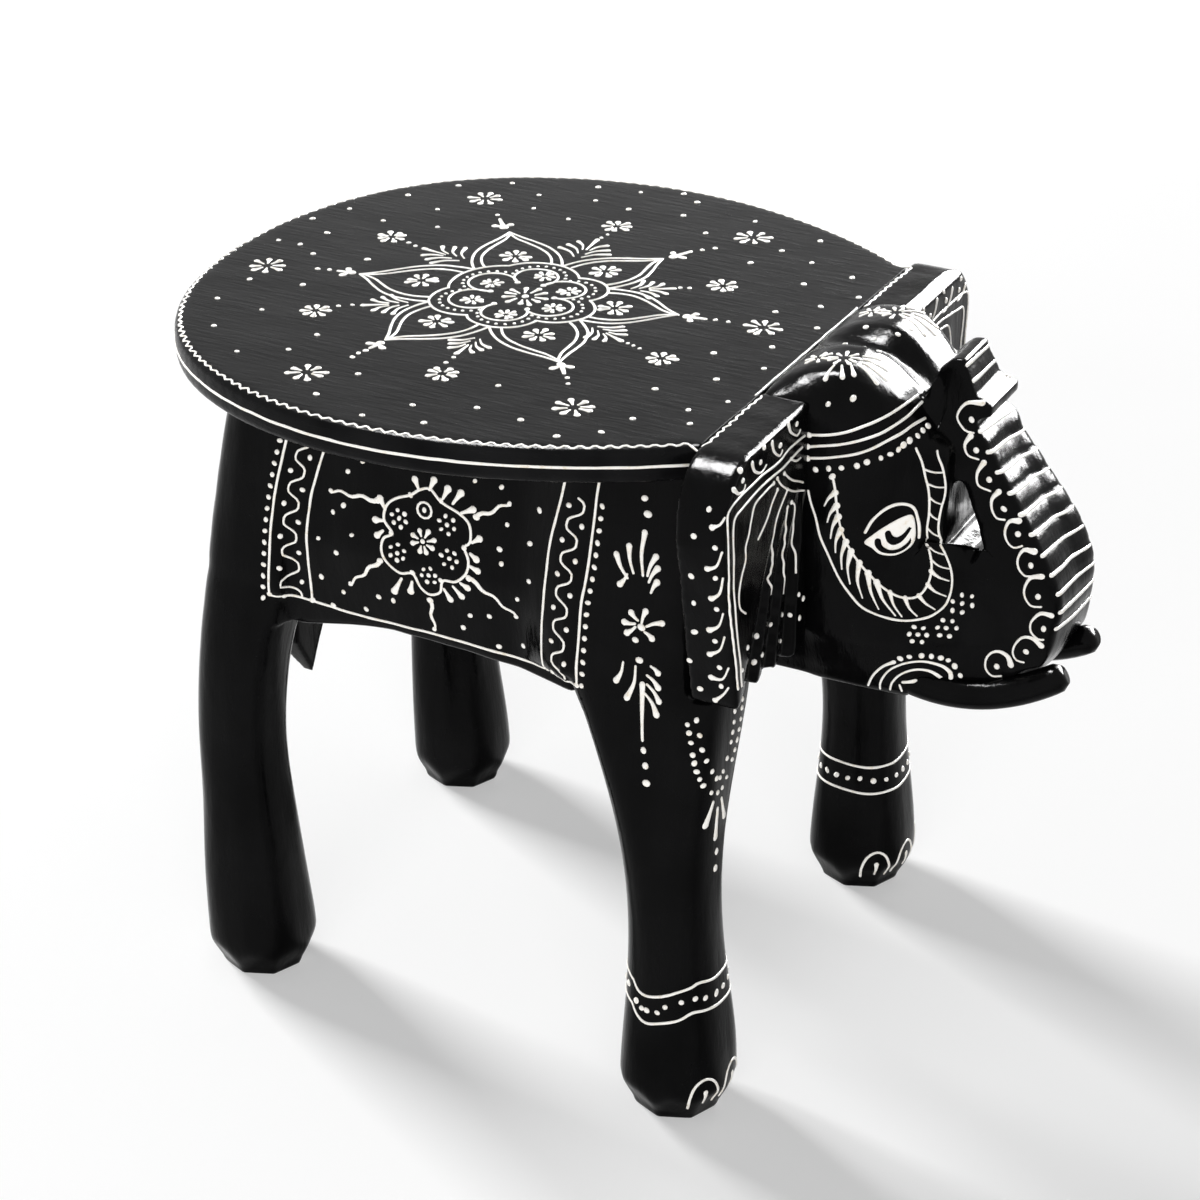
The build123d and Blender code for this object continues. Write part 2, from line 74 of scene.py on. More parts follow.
# ======== materials ========
class Nodes:
    """Short hand for a material's node tree."""

    def __init__(self, name):
        self.material = bpy.data.materials.new(name)
        self.material.use_nodes = True
        self.tree = self.material.node_tree
        self.shader = self.tree.nodes["Principled BSDF"]
        self.coords = self.add("ShaderNodeTexCoord").outputs["Object"]

    def add(self, kind, **settings):
        node = self.tree.nodes.new(kind)
        for key, value in settings.items():
            setattr(node, key, value)
        return node

    def link(self, source, target):
        self.tree.links.new(source, target)

    def scaled(self, scale):
        """Object coordinates stretched by a factor along each axis."""
        mapping = self.add("ShaderNodeMapping")
        mapping.inputs["Scale"].default_value = scale
        self.link(self.coords, mapping.inputs["Vector"])
        return mapping.outputs["Vector"]

    def noise(self, scale, detail=4.0, rough=0.55, vector=None):
        node = self.add("ShaderNodeTexNoise")
        node.inputs["Scale"].default_value = scale
        node.inputs["Detail"].default_value = detail
        node.inputs["Roughness"].default_value = rough
        self.link(vector or self.coords, node.inputs["Vector"])
        return node.outputs["Fac"]

    def ramp(self, value, stops):
        """Colour ramp through (position, colour or grey) stops."""
        node = self.add("ShaderNodeValToRGB")
        elements = node.color_ramp.elements
        while len(elements) < len(stops):
            elements.new(0.5)
        for element, (place, colour) in zip(elements, stops):
            element.position = place
            grey = isinstance(colour, float)
            element.color = (colour, colour, colour, 1) if grey else (*colour, 1)
        self.link(value, node.inputs["Fac"])
        return node.outputs["Color"]

    def drive(self, socket, value, stops):
        """Sets one of the shader's inputs through a colour ramp."""
        self.link(self.ramp(value, stops), self.shader.inputs[socket])

    def bump(self, layers):
        """Bump layers of (height, distance in mm, strength), the last on top."""
        previous = None
        for height, distance, strength in layers:
            node = self.add("ShaderNodeBump")
            node.inputs["Distance"].default_value = distance * MM
            node.inputs["Strength"].default_value = strength
            self.link(height, node.inputs["Height"])
            if previous:
                self.link(previous, node.inputs["Normal"])
            previous = node.outputs["Normal"]
        self.link(previous, self.shader.inputs["Normal"])


def lacquer(name, tint, roughness, grain, grain_depth, specular):
    """Brushed black lacquer over carved wood; grain is the stretch of the brush marks."""
    nodes = Nodes(name)
    marks = nodes.noise(1.0, 5.0, 0.6, nodes.scaled(grain))
    blotch = nodes.noise(28.0, 3.0)
    specks = nodes.noise(900.0, 2.0, 0.7)
    dark, light = tint
    nodes.drive("Base Color", blotch, [(0.35, dark), (0.7, light)])
    low, high = roughness
    nodes.drive("Roughness", marks, [(0.3, low), (0.75, high)])
    nodes.shader.inputs["Specular IOR Level"].default_value = specular
    nodes.bump([(marks, grain_depth, 0.6), (specks, 0.05, 0.35)])
    return nodes.material


def paint_material():
    nodes = Nodes("cream_paint")
    body = nodes.noise(420.0, 3.0)
    creams = [(0.25, (0.80, 0.72, 0.58)), (0.42, (0.93, 0.90, 0.84)), (0.8, (0.97, 0.96, 0.93))]
    nodes.drive("Base Color", body, creams)
    nodes.drive("Roughness", body, [(0.2, 0.34), (0.8, 0.55)])
    nodes.shader.inputs["Specular IOR Level"].default_value = 0.4
    nodes.bump([(nodes.noise(900.0, 2.0), 0.06, 0.4)])
    return nodes.material


def dowel_material():
    nodes = Nodes("dowel_wood")
    grain = nodes.noise(1.0, 4.0, 0.6, nodes.scaled((220.0, 220.0, 30.0)))
    nodes.drive("Base Color", grain, [(0.3, (0.40, 0.24, 0.12)), (0.7, (0.62, 0.43, 0.25))])
    nodes.drive("Roughness", grain, [(0.2, 0.55), (0.8, 0.72)])
    nodes.bump([(grain, 0.1, 0.5)])
    return nodes.material


BLACK = lacquer(
    "black_lacquer", tint=((0.001, 0.001, 0.0011), (0.003, 0.003, 0.0032)),
    roughness=(0.09, 0.22), grain=(190.0, 190.0, 40.0), grain_depth=0.5, specular=0.06,
)
SEAT_BLACK = lacquer(
    "seat_lacquer", tint=((0.002, 0.002, 0.0023), (0.008, 0.008, 0.0084)),
    roughness=(0.12, 0.34), grain=(60.0, 420.0, 420.0), grain_depth=0.42, specular=0.05,
)
CREAM = paint_material()
DOWEL = dowel_material()


# ======== meshes ========
def linked(name, mesh):
    piece = bpy.data.objects.new(name, mesh)
    bpy.context.scene.collection.objects.link(piece)
    return piece


def finished(name, mesh, material, nodes=()):
    """A piece of the stool: smooth, with its material, riding on the stool's one body."""
    mesh.materials.clear()
    mesh.materials.append(material)
    mesh.polygons.foreach_set("use_smooth", [True] * len(mesh.polygons))
    piece = linked(name, mesh)
    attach(piece, "root")
    if nodes:
        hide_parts(*nodes)
    return piece


def places_of(mesh):
    """The mesh's vertices in millimetres."""
    flat = np.empty(len(mesh.vertices) * 3, np.float64)
    mesh.vertices.foreach_get("co", flat)
    return (flat.reshape(-1, 3) - ORIGIN) / MM


def move_to(mesh, places):
    mesh.vertices.foreach_set("co", (places * MM + ORIGIN).ravel())
    mesh.update()


def reshape(mesh, change):
    """Moves the vertices as change(places) moves their places in millimetres."""
    places = places_of(mesh)
    change(places)
    move_to(mesh, places)


def band(low, high, count):
    """Faces between two rings of count vertices, whose first numbers are low and high."""
    faces = []
    for k in range(count):
        m = (k + 1) % count
        faces.append((low + k, low + m, high + m, high + k))
    return faces


def join_rings(solid, rings):
    """Adds the faces of a closed solid through rings of vertices."""
    faces = [solid.faces.new(rings[0]), solid.faces.new(list(reversed(rings[-1])))]
    count = len(rings[0])
    for low, high in zip(rings[:-1], rings[1:]):
        for i in range(count):
            j = (i + 1) % count
            faces.append(solid.faces.new((low[j], low[i], high[i], high[j])))
    bmesh.ops.recalc_face_normals(solid, faces=faces)


def edges_of(mesh):
    flat = np.empty(len(mesh.edges) * 2, np.int64)
    mesh.edges.foreach_get("vertices", flat)
    return flat.reshape(-1, 2)


def cad_copy(names):
    """The CAD solids as one editable mesh."""
    solid = bmesh.new()
    for name in names:
        solid.from_mesh(frame["nodes"][name].data)
    return solid


def slab(outline, back, front):
    """A board between two lengths whose outline is (y, z) points."""
    solid = bmesh.new()
    rings = [[solid.verts.new(at(x, y, z)) for y, z in outline] for x in (back, front)]
    join_rings(solid, rings)
    return solid


def outer_shell(mesh):
    """Removes everything but the largest connected shell."""
    solid = bmesh.new()
    solid.from_mesh(mesh)
    left = set(solid.verts)
    largest = []
    while left:
        stack = [left.pop()]
        shell = []
        while stack:
            vertex = stack.pop()
            shell.append(vertex)
            for edge in vertex.link_edges:
                other = edge.other_vert(vertex)
                if other in left:
                    left.discard(other)
                    stack.append(other)
        if len(shell) > len(largest):
            largest = shell
    keep = set(largest)
    bmesh.ops.delete(solid, geom=[v for v in solid.verts if v not in keep], context="VERTS")
    solid.to_mesh(mesh)
    solid.free()


def skinned(solid, voxel):
    """One even skin over overlapping solids; voxel is in millimetres."""
    mesh = bpy.data.meshes.new("raw")
    solid.to_mesh(mesh)
    solid.free()
    raw = linked("raw", mesh)
    remesh = raw.modifiers.new("skin", "REMESH")
    remesh.mode = "VOXEL"
    remesh.voxel_size = voxel * MM
    bpy.context.view_layer.update()
    depsgraph = bpy.context.evaluated_depsgraph_get()
    skin = bpy.data.meshes.new_from_object(raw.evaluated_get(depsgraph))
    bpy.data.objects.remove(raw)
    outer_shell(skin)
    return skin


def soften(mesh, rounds, hold=None):
    """Averages vertices with their neighbours; hold(places) is how firmly each one stays."""
    places = places_of(mesh)
    ends = edges_of(mesh)
    count = np.bincount(ends.ravel(), minlength=len(places))[:, None]
    free = 0.5 * (1 - (hold(places) if hold else np.zeros(len(places))))[:, None]
    for _ in range(rounds):
        total = np.zeros_like(places)
        np.add.at(total, ends[:, 0], places[ends[:, 1]])
        np.add.at(total, ends[:, 1], places[ends[:, 0]])
        places += free * (total / np.maximum(count, 1) - places)
    move_to(mesh, places)


class Skin:
    """Finished surfaces that rays are cast on, to measure them and to lay ornament on them."""

    def __init__(self, *pieces):
        places, faces = [], []
        for piece in pieces:
            first = len(places)
            places += [Vector(p) for p in places_of(piece.data)]
            faces += [[first + v for v in face.vertices] for face in piece.data.polygons]
        self.tree = BVHTree.FromPolygons(places, faces)

    def meet(self, start, way):
        """The place and normal where a ray first meets the surface, or nothing."""
        place, normal, _, _ = self.tree.ray_cast(Vector(start), Vector(way))
        return (place, normal) if place is not None else None

    def from_above(self, a, b):
        """a is to the elephant's right and b to its head."""
        return self.meet((b, -a, 400), (0, 0, -1))

    def from_side(self, side):
        return lambda x, z: self.meet((x, side * 250, z), (0, -side, 0))

    def from_front(self, side):
        return lambda out, z: self.meet((400, side * out, z), (-1, 0, 0))

    def from_quarter(self, side):
        """Aslant from the front and above; the place is where the line crosses y = 50."""
        back = Vector((0.33, side * 0.856, 0.415))
        return lambda x, z: self.meet(Vector((x, side * 50, z)) + back * 150, -back)

    def round_post(self, x, y, side):
        """Round a leg: the turn is in degrees from its outer side towards its front."""
        def place(turn, z):
            angle = math.radians(turn)
            way = Vector((math.sin(angle), side * math.cos(angle), 0))
            return self.meet(Vector((x, side * y, z)) + way * 60, -way)
        return place

    def round_seat(self, z):
        """Round the seat's edge: the turn is in degrees from the head towards the left."""
        def place(turn, rise):
            angle = math.radians(turn)
            way = Vector((math.cos(angle), math.sin(angle), 0))
            return self.meet(way * 300 + Vector((0, 0, z + rise)), -way)
        return place


def hand_worked(mesh, depth, length, stretch=(1, 1, 1), hold=None):
    """Shallow uneven hollows of hand carving, pressed into the surface only."""
    places = places_of(mesh)
    normals = np.array([v.normal[:] for v in mesh.vertices])
    free = 1 - (hold(places) if hold else np.zeros(len(places)))
    scale = 1.0 / (np.array(stretch) * length)
    height = np.array([noise.noise(Vector(p * scale)) for p in places])
    places += normals * (free * depth * (height - 0.6))[:, None]
    move_to(mesh, places)


# ======== body and legs ========
# Rise of the belly's lower edge over its flat bottom, at distances to the head.
BELLY_LINE = [(-80, -9), (-60, -7), (-37, -2), (-15, 1), (18, 0), (45, -2), (70, -7), (85, -9)]


def shape_body(places):
    """Dips the belly's lower edge to the legs, bevels the feet and swells haunches and shoulders."""
    x, y, z = places.T
    drop = np.interp(x, *zip(*BELLY_LINE))
    near = ramp(z, 222, BELLY_BOTTOM) * ramp(z, BELLY_BOTTOM - 6, BELLY_BOTTOM - 1)
    near = near * ramp(np.abs(x - 4), 80, 62)
    places[:, 2] += drop * near
    bevel_feet(places)
    swell_haunches(places)
    rise_to_shoulder(places)


FEET = [m["pos_m"] for m in frame["record"]["mounts"] if m["name"] != "seat_top"]
FOOT_BEVEL, FOOT_BEVEL_TOP, FOOT_HALF = 6.0, 12.0, 22.6
FOOT_SIDES, FOOT_REACH = 8, 40  # how many bevels, and how far from the middle a foot's vertices lie


def bevel_feet(places):
    """Flat bevels round the bottom of each foot."""
    low = np.clip((FOOT_BEVEL_TOP - places[:, 2]) / FOOT_BEVEL_TOP, 0, 1)
    for foot in FEET:
        middle = np.array([(foot[0] - SEAT[0]) / MM, foot[1] / MM])
        for k in range(FOOT_SIDES):
            turn = math.tau * (k + 0.5) / FOOT_SIDES
            way = np.array([math.cos(turn), math.sin(turn)])
            out = (places[:, :2] - middle) @ way
            near = np.hypot(*(places[:, :2] - middle).T) < FOOT_REACH
            over = np.clip(out - (FOOT_HALF - FOOT_BEVEL * low), 0, None) * (low > 0) * near
            places[:, :2] -= over[:, None] * way


REAR_POST = (-80, 78)
# How far the haunches stand out at each height, and the way in which they stand out most.
HAUNCH_SWELL = [
    (160, 0), (176, 1.2), (190, 4), (200, 5.8), (215, 5.8), (235, 4.8), (258, 3.2), (275, 1.5), (285, 0.6),
]
HAUNCH_WAY = (-0.888, -0.46)


def swell_haunches(places):
    """The rear haunches stand out round and full above the legs."""
    x, y, z = places.T
    side = np.sign(y)
    back, out = x - REAR_POST[0], np.abs(y) - REAR_POST[1]
    far = np.maximum(np.hypot(back, out), 1e-3)
    facing = np.clip((HAUNCH_WAY[0] * back + HAUNCH_WAY[1] * out) / far, 0, 1) ** 0.8
    amount = np.interp(z, *zip(*HAUNCH_SWELL)) * facing * ramp(far, 4, 14) * ramp(np.abs(y), 48, 66)
    places[:, 0] += amount * back / far
    places[:, 1] += amount * side * out / far


# Half widths of the flank and of the shoulder at heights, and where one rises to the other.
FLANK_HEIGHTS = [184, 192, 210, 230, 250, 265, 284]
FLANK, SHOULDER = [90.5, 91.4, 93.7, 93.7, 91.7, 90.3, 88.5], [101, 104.1, 102.3, 100.0, 97.4, 95.2, 92.5]
RISE_START, RISE_END = 44, 73


def rise_to_shoulder(places):
    """The flank rises smoothly to the front leg, with no step between them."""
    x, y, z = places.T
    flank, shoulder = np.interp(z, FLANK_HEIGHTS, FLANK), np.interp(z, FLANK_HEIGHTS, SHOULDER)
    smooth = flank + (shoulder - flank) * ramp(x, RISE_START, RISE_END)
    near = (x > RISE_START) & (x < RISE_END + 0.5) & (np.abs(y) > flank - 1.2) & (z > FLANK_HEIGHTS[0])
    places[:, 1] = np.where(near, np.sign(y) * np.maximum(np.abs(y), smooth), y)


def keep_heights(places):
    """Nothing of the body stands under the floor or reaches into the seat."""
    places[:, 2] = np.clip(places[:, 2], 0.0, SEAT_UNDER)


def hold_body(p):
    """The soles and the top under the seat hardly move when the body is softened."""
    return 0.85 * ramp(p[:, 2], 3.0, 1.0) + 0.6 * ramp(p[:, 2], 281, 284)


def build_body():
    nodes = ["body_block", "front_right_leg", "front_left_leg", "rear_right_leg", "rear_left_leg"]
    mesh = skinned(cad_copy(nodes), 1.8)
    reshape(mesh, shape_body)
    soften(mesh, 5, hold_body)
    hand_worked(mesh, 0.5, 16.0, (1, 1, 2.6), lambda p: ramp(p[:, 2], 4.0, 1.0))
    reshape(mesh, keep_heights)
    return finished("carved_body", mesh, BLACK, nodes)


# ======== head and trunk ========
TRUNK_HALF = 21.0
# Curves, each as its steps and the values at them: by height the half width of the trunk's front and
# its distance, and by distance the rise of the gap's floor and the drop of the jaw.
TRUNK_HALVES = ([245, 315], [TRUNK_HALF, 13.0])
TRUNK_PROFILE = ([179, 214, 249, 283], [230, 247.5, 233, 210])
GAP_FLOOR = ([191, 197, 208.5, 214, 217], [13.0, 11.0, 3.2, 9.0, 12.0])
JAW_DROP = ([150, 190, 215, 228, 236], [2.6, 2.2, 3.2, 3.0, 0.0])
# The stripes over the trunk's front climb this much, over this run to the elephant's right.
STRIPE_RISE, STRIPE_RUN = 1.3, 20
STRIPES = [286, 278.4, 271, 263.5, 256, 248.6, 241, 233.5, 226, 218.5, 211]
# The forehead at distances to the head: half width, half width of a dome's flat back, its
# height, depth of the groove between the domes, and height where a dome meets the side.
FOREHEAD = [
    (129.3, 50.0, 34, 300.9, 0.0, 300.2),
    (131.8, 50.0, 34, 303.6, 0.8, 300.6),
    (135.0, 50.0, 34, 306.3, 1.8, 300.6),
    (142.0, 50.0, 34, 309.6, 3.5, 299.6),
    (150.0, 49.6, 34, 311.4, 5.0, 297.0),
    (158.0, 48.6, 34, 311.8, 6.0, 293.6),
    (164.0, 47.2, 33, 310.4, 6.0, 291.4),
    (170.0, 45.0, 31, 306.8, 5.5, 289.4),
    (176.0, 42.0, 28, 302.0, 4.5, 287.4),
    (182.0, 37.5, 24, 296.2, 3.0, 285.4),
    (187.0, 33.6, 20, 290.6, 1.5, 283.4),
    (191.0, 30.4, 17, 286.4, 0.5, 281.4),
    (197.2, 26.0, 14, 282.5, 0.0, 279.0),
    (198.6, 23.8, 12, 280.5, 0.0, 277.5),
]
GROOVE_HALF = 12.0
# The trunk's root rises behind the forehead's edge: distance and height.
TRUNK_ROOT = [(180.5, 291.0), (184.6, 301.0), (187.6, 309.2), (192.5, 314.0), (197.0, 314.3)]
# The sides below it, down to the jaw: half widths at the heights of SIDE_HEIGHTS.
SIDE_HEIGHTS = [266, 246, 230, 215, 202, 178]
SIDES = [
    (129.3, [49.5, 48.0, 46.0, 44.0, 42.5, 35.5]),
    (161.0, [47.4, 46.8, 45.4, 44.0, 43.0, 36.0]),
    (173.0, [43.6, 43.6, 42.4, 42.0, 42.0, 35.5]),
    (184.0, [35.8, 36.0, 36.8, 38.6, 39.6, 34.0]),
    (191.0, [30.4, 30.6, 33.4, 36.4, 38.4, 30.0]),
    (197.2, [26.0, 26.0, 29.0, 32.4, 35.0, 24.0]),
    (198.6, [23.8, 24.0, 27.6, 31.4, 34.2, 22.0]),
]
# The cheeks run on to the trunk under the gap.
CHEEK_HEIGHTS = [236, 230, 220, 211, 202]
CHEEKS = [
    (190.0, [31.5, 33.4, 35.6, 37.0, 38.4]),
    (197.0, [26.5, 28.6, 31.8, 33.8, 35.6]),
    (203.0, [20.0, 23.0, 27.8, 30.8, 33.6]),
    (209.0, [16.0, 18.0, 22.6, 27.0, 30.4]),
]


def forehead(x, side):
    """Height of the forehead at a distance to the head and from the middle."""
    steps, half, flat, crest, groove, brow = (np.array(column) for column in zip(*FOREHEAD))
    flat, half = np.interp(x, steps, flat), np.interp(x, steps, half)
    crest, brow = np.interp(x, steps, crest), np.interp(x, steps, brow)
    inner = np.interp(x, steps, groove) * ramp(side, GROOVE_HALF, 0)
    out = np.clip((side - flat) / (half - flat), 0, 1)
    return crest - inner - (crest - brow) * out ** 1.8


def forehead_section(x, half, lower):
    """Half section from the groove over a dome and down the side."""
    across = [half * share for share in (0, 0.12, 0.24, 0.45, 0.66, 0.78, 0.88, 0.95, 1)]
    return [(side, float(forehead(x, side))) for side in across] + lower


def side_points(distance, rows, heights):
    """Half widths at the given heights, read between the rows."""
    steps = [row[0] for row in rows]
    halves = [float(np.interp(distance, steps, column)) for column in zip(*(row[1] for row in rows))]
    return list(zip(halves, heights))


def cut_beyond(solid, place, way):
    """Cuts away what lies beyond a plane and closes the cut."""
    everything = solid.verts[:] + solid.edges[:] + solid.faces[:]
    cut = bmesh.ops.bisect_plane(solid, geom=everything, plane_co=place, plane_no=way, clear_outer=True)
    rim = [item for item in cut["geom_cut"] if isinstance(item, bmesh.types.BMEdge)]
    bmesh.ops.triangle_fill(solid, edges=rim, use_beauty=True)


def add_loft(solid, sections):
    """Adds a closed solid through mirrored half sections to what is there."""
    rings = []
    for distance, half in sections:
        whole = half + [(-y, z) for y, z in reversed(half) if y > 0]
        rings.append([solid.verts.new(at(distance, y, z)) for y, z in whole])
    join_rings(solid, rings)


def lower_jaw(places):
    """Deepens the jaw and draws in the trunk's lower end."""
    x, y, z = places.T
    places[:, 2] -= ramp(z, 197, 185) * np.interp(x, *JAW_DROP)
    drawn = 1.4 + 2.0 * ramp(y, 0, -20)
    places[:, 0] -= drawn * ramp(z, 224, 207) * ramp(x, 222, 240)


def widen_trunk(places, profile):
    """The trunk's front is broader on its left, as carved by hand."""
    x, y, z = places.T
    reach = ramp(z, 214, 232) * ramp(z, 290, 282)
    places[:, 0] += 2.0 * reach * ramp(y, 2, 18) * ramp(x, profile - 14, profile - 5)
    places[:, 1] += 2.0 * reach * ramp(y, 10, 20) * ramp(x, 200, 206)


def cut_forehead(places):
    """Cuts the head down to the forehead's height, and the trunk's root to its own."""
    x, y, z = places.T
    side = np.abs(y)
    root = np.interp(x, *zip(*TRUNK_ROOT), left=0) * (side < 15.4)
    high = np.maximum(forehead(x, side), root)
    places[:, 2] = np.where((x < FACE + 0.5) & (z > 278), np.minimum(z, high), z)


def bevel_trunk(places, profile):
    """Bevels the sides of the trunk's front and presses a groove in under each stripe."""
    x, y, z = places.T
    front = ramp(x, 206, 214) * ramp(z, 198, 206) * ramp(z, 286, 282)
    front = front * ramp(x, profile - 7, profile - 3)
    half = np.interp(z, *TRUNK_HALVES)
    places[:, 0] -= front * 0.9 * np.clip(np.abs(y) - (half - 2.6), 0, 4)
    for stripe in STRIPES:
        away = z - stripe + STRIPE_RISE * y / STRIPE_RUN - 1.2
        places[:, 0] -= 0.5 * front * np.exp(-(away / 1.1) ** 2)


def tilt_gap_floor(places):
    """The floor of the gap behind the trunk rises to the face and to the trunk."""
    x, _, z = places.T
    floor = ramp(z, 221, 225) * ramp(z, 240, 233) * ramp(x, 188, 193) * ramp(x, 218, 215)
    places[:, 2] += floor * np.interp(x, *GAP_FLOOR)


def square_tip(places):
    """The trunk's upper end is cut off squarely."""
    x, _, z = places.T
    places[:, 0] += 1.5 * ramp(z, 310.5, 313.6) * ramp(x, 193, 195.5)


def shape_head(places):
    """Carves forehead, trunk, gap and jaw over the joined solids."""
    cut_forehead(places)
    profile = np.interp(places[:, 2], *TRUNK_PROFILE)
    bevel_trunk(places, profile)
    tilt_gap_floor(places)
    square_tip(places)
    widen_trunk(places, profile)
    lower_jaw(places)


def add_mesh(solid, other):
    """Adds one editable mesh to another and frees it."""
    spare = bpy.data.meshes.new("roots")
    other.to_mesh(spare)
    other.free()
    solid.from_mesh(spare)


def head_solid():
    """The head's solids, the tusks' roots, the ear board's middle and the lofts that round them off."""
    solid = cad_copy(["ear_board"])
    for side in (RIGHT, LEFT):
        cut_beyond(solid, at(0, side * 38, 0), (0, side, 0))
    roots = cad_copy(["tusk_right", "tusk_left"])
    cut_beyond(roots, at(FACE - 1, 0, 0), (1, 0, 0))
    add_mesh(solid, roots)
    for name in ("head_block", "trunk"):
        solid.from_mesh(frame["nodes"][name].data)
    brow = [(x, forehead_section(x, half, side_points(x, SIDES, SIDE_HEIGHTS))) for x, half, *_ in FOREHEAD]
    add_loft(solid, brow)
    add_loft(solid, [(x, [(0, z), (12.5, z), (14.8, 290), (14.8, 284)]) for x, z in TRUNK_ROOT])
    add_loft(solid, [(x, list(zip(halves, CHEEK_HEIGHTS))) for x, halves in CHEEKS])
    return solid


def hold_head(p):
    """The trunk's front, its tip and the top of its root keep their edges when the head is softened."""
    tip = ramp(p[:, 0], FACE + 4, FACE + 8) * ramp(p[:, 2], 276, 282)
    high = ramp(p[:, 2], 298, 302) * ramp(p[:, 0], 183, 186)
    trunk = ramp(p[:, 0], 214, 220)
    return np.clip(np.maximum(np.maximum(tip, high), trunk * 0.75), 0, 1) * 0.8


def build_head():
    mesh = skinned(head_solid(), 1.15)
    reshape(mesh, shape_head)
    soften(mesh, 9, hold_head)
    hand_worked(mesh, 0.5, 14.0)
    return finished("carved_head", mesh, BLACK, ["head_block", "trunk"])


# ======== ears ========
EAR_HALF, EAR_TOP, EAR_CORNER = 123.0, 301.0, 22.0
EAR_TOOTH = [
    (108, 196.5), (104, 193.6), (92.5, 196.5), (91, 201), (87, 196.5), (75.5, 193.8), (74, 199), (70, 195),
    (57, 193.6), (44, 193.6), (40, 215), (0, 215),
]
PLEATS = [57.0, 74.0, 91.0, 108.0]


def ear_outline():
    """Half outline of the ear board from inside the head out and round to its lower edge."""
    outline = [(0.0, 292.0), (44.0, 292.0), (47.5, EAR_TOP), (EAR_HALF - EAR_CORNER, EAR_TOP)]
    for step in range(1, 9):
        turn = math.pi / 2 * step / 8
        outline.append((
            EAR_HALF - EAR_CORNER * (1 - math.sin(turn)),
            EAR_TOP - EAR_CORNER * (1 - math.cos(turn)),
        ))
    return outline + [(EAR_HALF, 270.0)] + EAR_TOOTH


PLEAT_DEPTH, PLEAT_TOP, PLEAT_ROOT = 5.0, 285.0, 52
# How low the upper front edge is bevelled, across from the elephant's right to its left.
EAR_BEVEL = ([-95, -80, -50, 40, 44], [0.3, 0.8, 1.2, 1.2, 4.2])


def pleat_edge(width, fall):
    """Where a pleat's edge runs; fall is 0 at the top, where the pleats close up, and 1 at the bottom."""
    return PLEAT_ROOT + (width - PLEATS[0]) * (0.35 + 0.65 * fall) + 5 * fall


def pleat_share(y, z):
    """How deep a pleat cuts at a place on the ear: 0 at its outer edge and 1 at its inner edge."""
    fall = np.clip((PLEAT_TOP - z) / (PLEAT_TOP - EAR_BOTTOM), 0, 1)
    cut = np.zeros_like(y)
    for inner, outer in zip(PLEATS[:-1], PLEATS[1:]):
        low, high = pleat_edge(inner, fall), pleat_edge(outer, fall)
        share = (high - y) / (high - low)
        cut = np.where((share > 0) & (share < 1), share, cut)
    return cut * ramp(z, 276, 232)


def shape_ears(places):
    """Cuts the pleats and bevels the upper front edge."""
    x, y, z = places.T
    places[:, 0] -= ramp(x, 134, 148) * PLEAT_DEPTH * pleat_share(np.abs(y), z)
    over = np.clip(x - EAR_FRONT + z - EAR_TOP + np.interp(y, *EAR_BEVEL), 0, None)
    places[:, 0] -= over / 2
    places[:, 2] -= over / 2


def build_ears():
    half = ear_outline()
    outline = half + [(-y, z) for y, z in reversed(half[1:-1])]
    mesh = skinned(slab(outline, SEAT_CHORD + 0.1, EAR_FRONT), 1.25)
    reshape(mesh, shape_ears)
    soften(mesh, 3, lambda p: 0.6 * ramp(p[:, 2], 296, 299))
    hand_worked(mesh, 0.4, 15.0)
    return finished("ears", mesh, BLACK, ["ear_board"])


# ======== seat board ========
SEAT_TURNS = 720  # points round the board
SEAT_INSET = 0.5  # how far the worked edge stays inside the plain board's
FACE_STEPS = [(inset, SEAT_FACE) for inset in (5.5, 9.0, 14.0, 20.0)]
# The rim's section, from the under side round the edge: distances in from the edge, and heights.
RIM = [
    (40.0, SEAT_UNDER), (8.0, SEAT_UNDER), (3.4, 285.05), (1.8, 285.5), (0.7, 286.6), (0.2, 288.2),
    (0.0, 290.5), (0.0, 294.5), (0.2, 296.8), (0.7, 298.4), (1.8, 299.4), (3.4, 299.85),
] + FACE_STEPS
# At the neck the board ends in a plain square edge.
NECK_RIM = [(inset, SEAT_UNDER) for inset in (40.0, 8.0, 3.4, 1.8, 0.7, 0.1)] + [
    (0.0, 285.1), (0.0, 299.85), (0.0, SEAT_FACE), (0.1, SEAT_FACE), (1.8, SEAT_FACE), (3.4, SEAT_FACE),
] + FACE_STEPS


def seat_reach():
    """The seat's radius at each turn, measured on the CAD board."""
    board = Skin(frame["nodes"]["seat_board"])
    reach = []
    for i in range(SEAT_TURNS):
        turn = math.tau * i / SEAT_TURNS
        way = Vector((math.cos(turn), math.sin(turn), 0))
        place, _ = board.meet(way * 400 + Vector((0, 0, 292.5)), -way)
        reach.append(Vector(place[:2]).length)
    return np.array(reach)


def seat_rings(turns):
    """Radii and heights of the board's rings, from its under side round the rim to its middle."""
    reach = seat_reach() - SEAT_INSET
    chord = ramp(np.cos(turns) * reach, SEAT_CHORD - 2.0, SEAT_CHORD - 0.8)
    rings = []
    for (inset, height), (neck_inset, neck_height) in zip(RIM, NECK_RIM):
        rings.append((
            reach - inset - (neck_inset - inset) * chord,
            height + (neck_height - height) * chord,
        ))
    inner = reach - RIM[-1][0]
    return rings + [(inner * share, SEAT_FACE + 0 * turns) for share in np.linspace(0.95, 0.05, 19)]


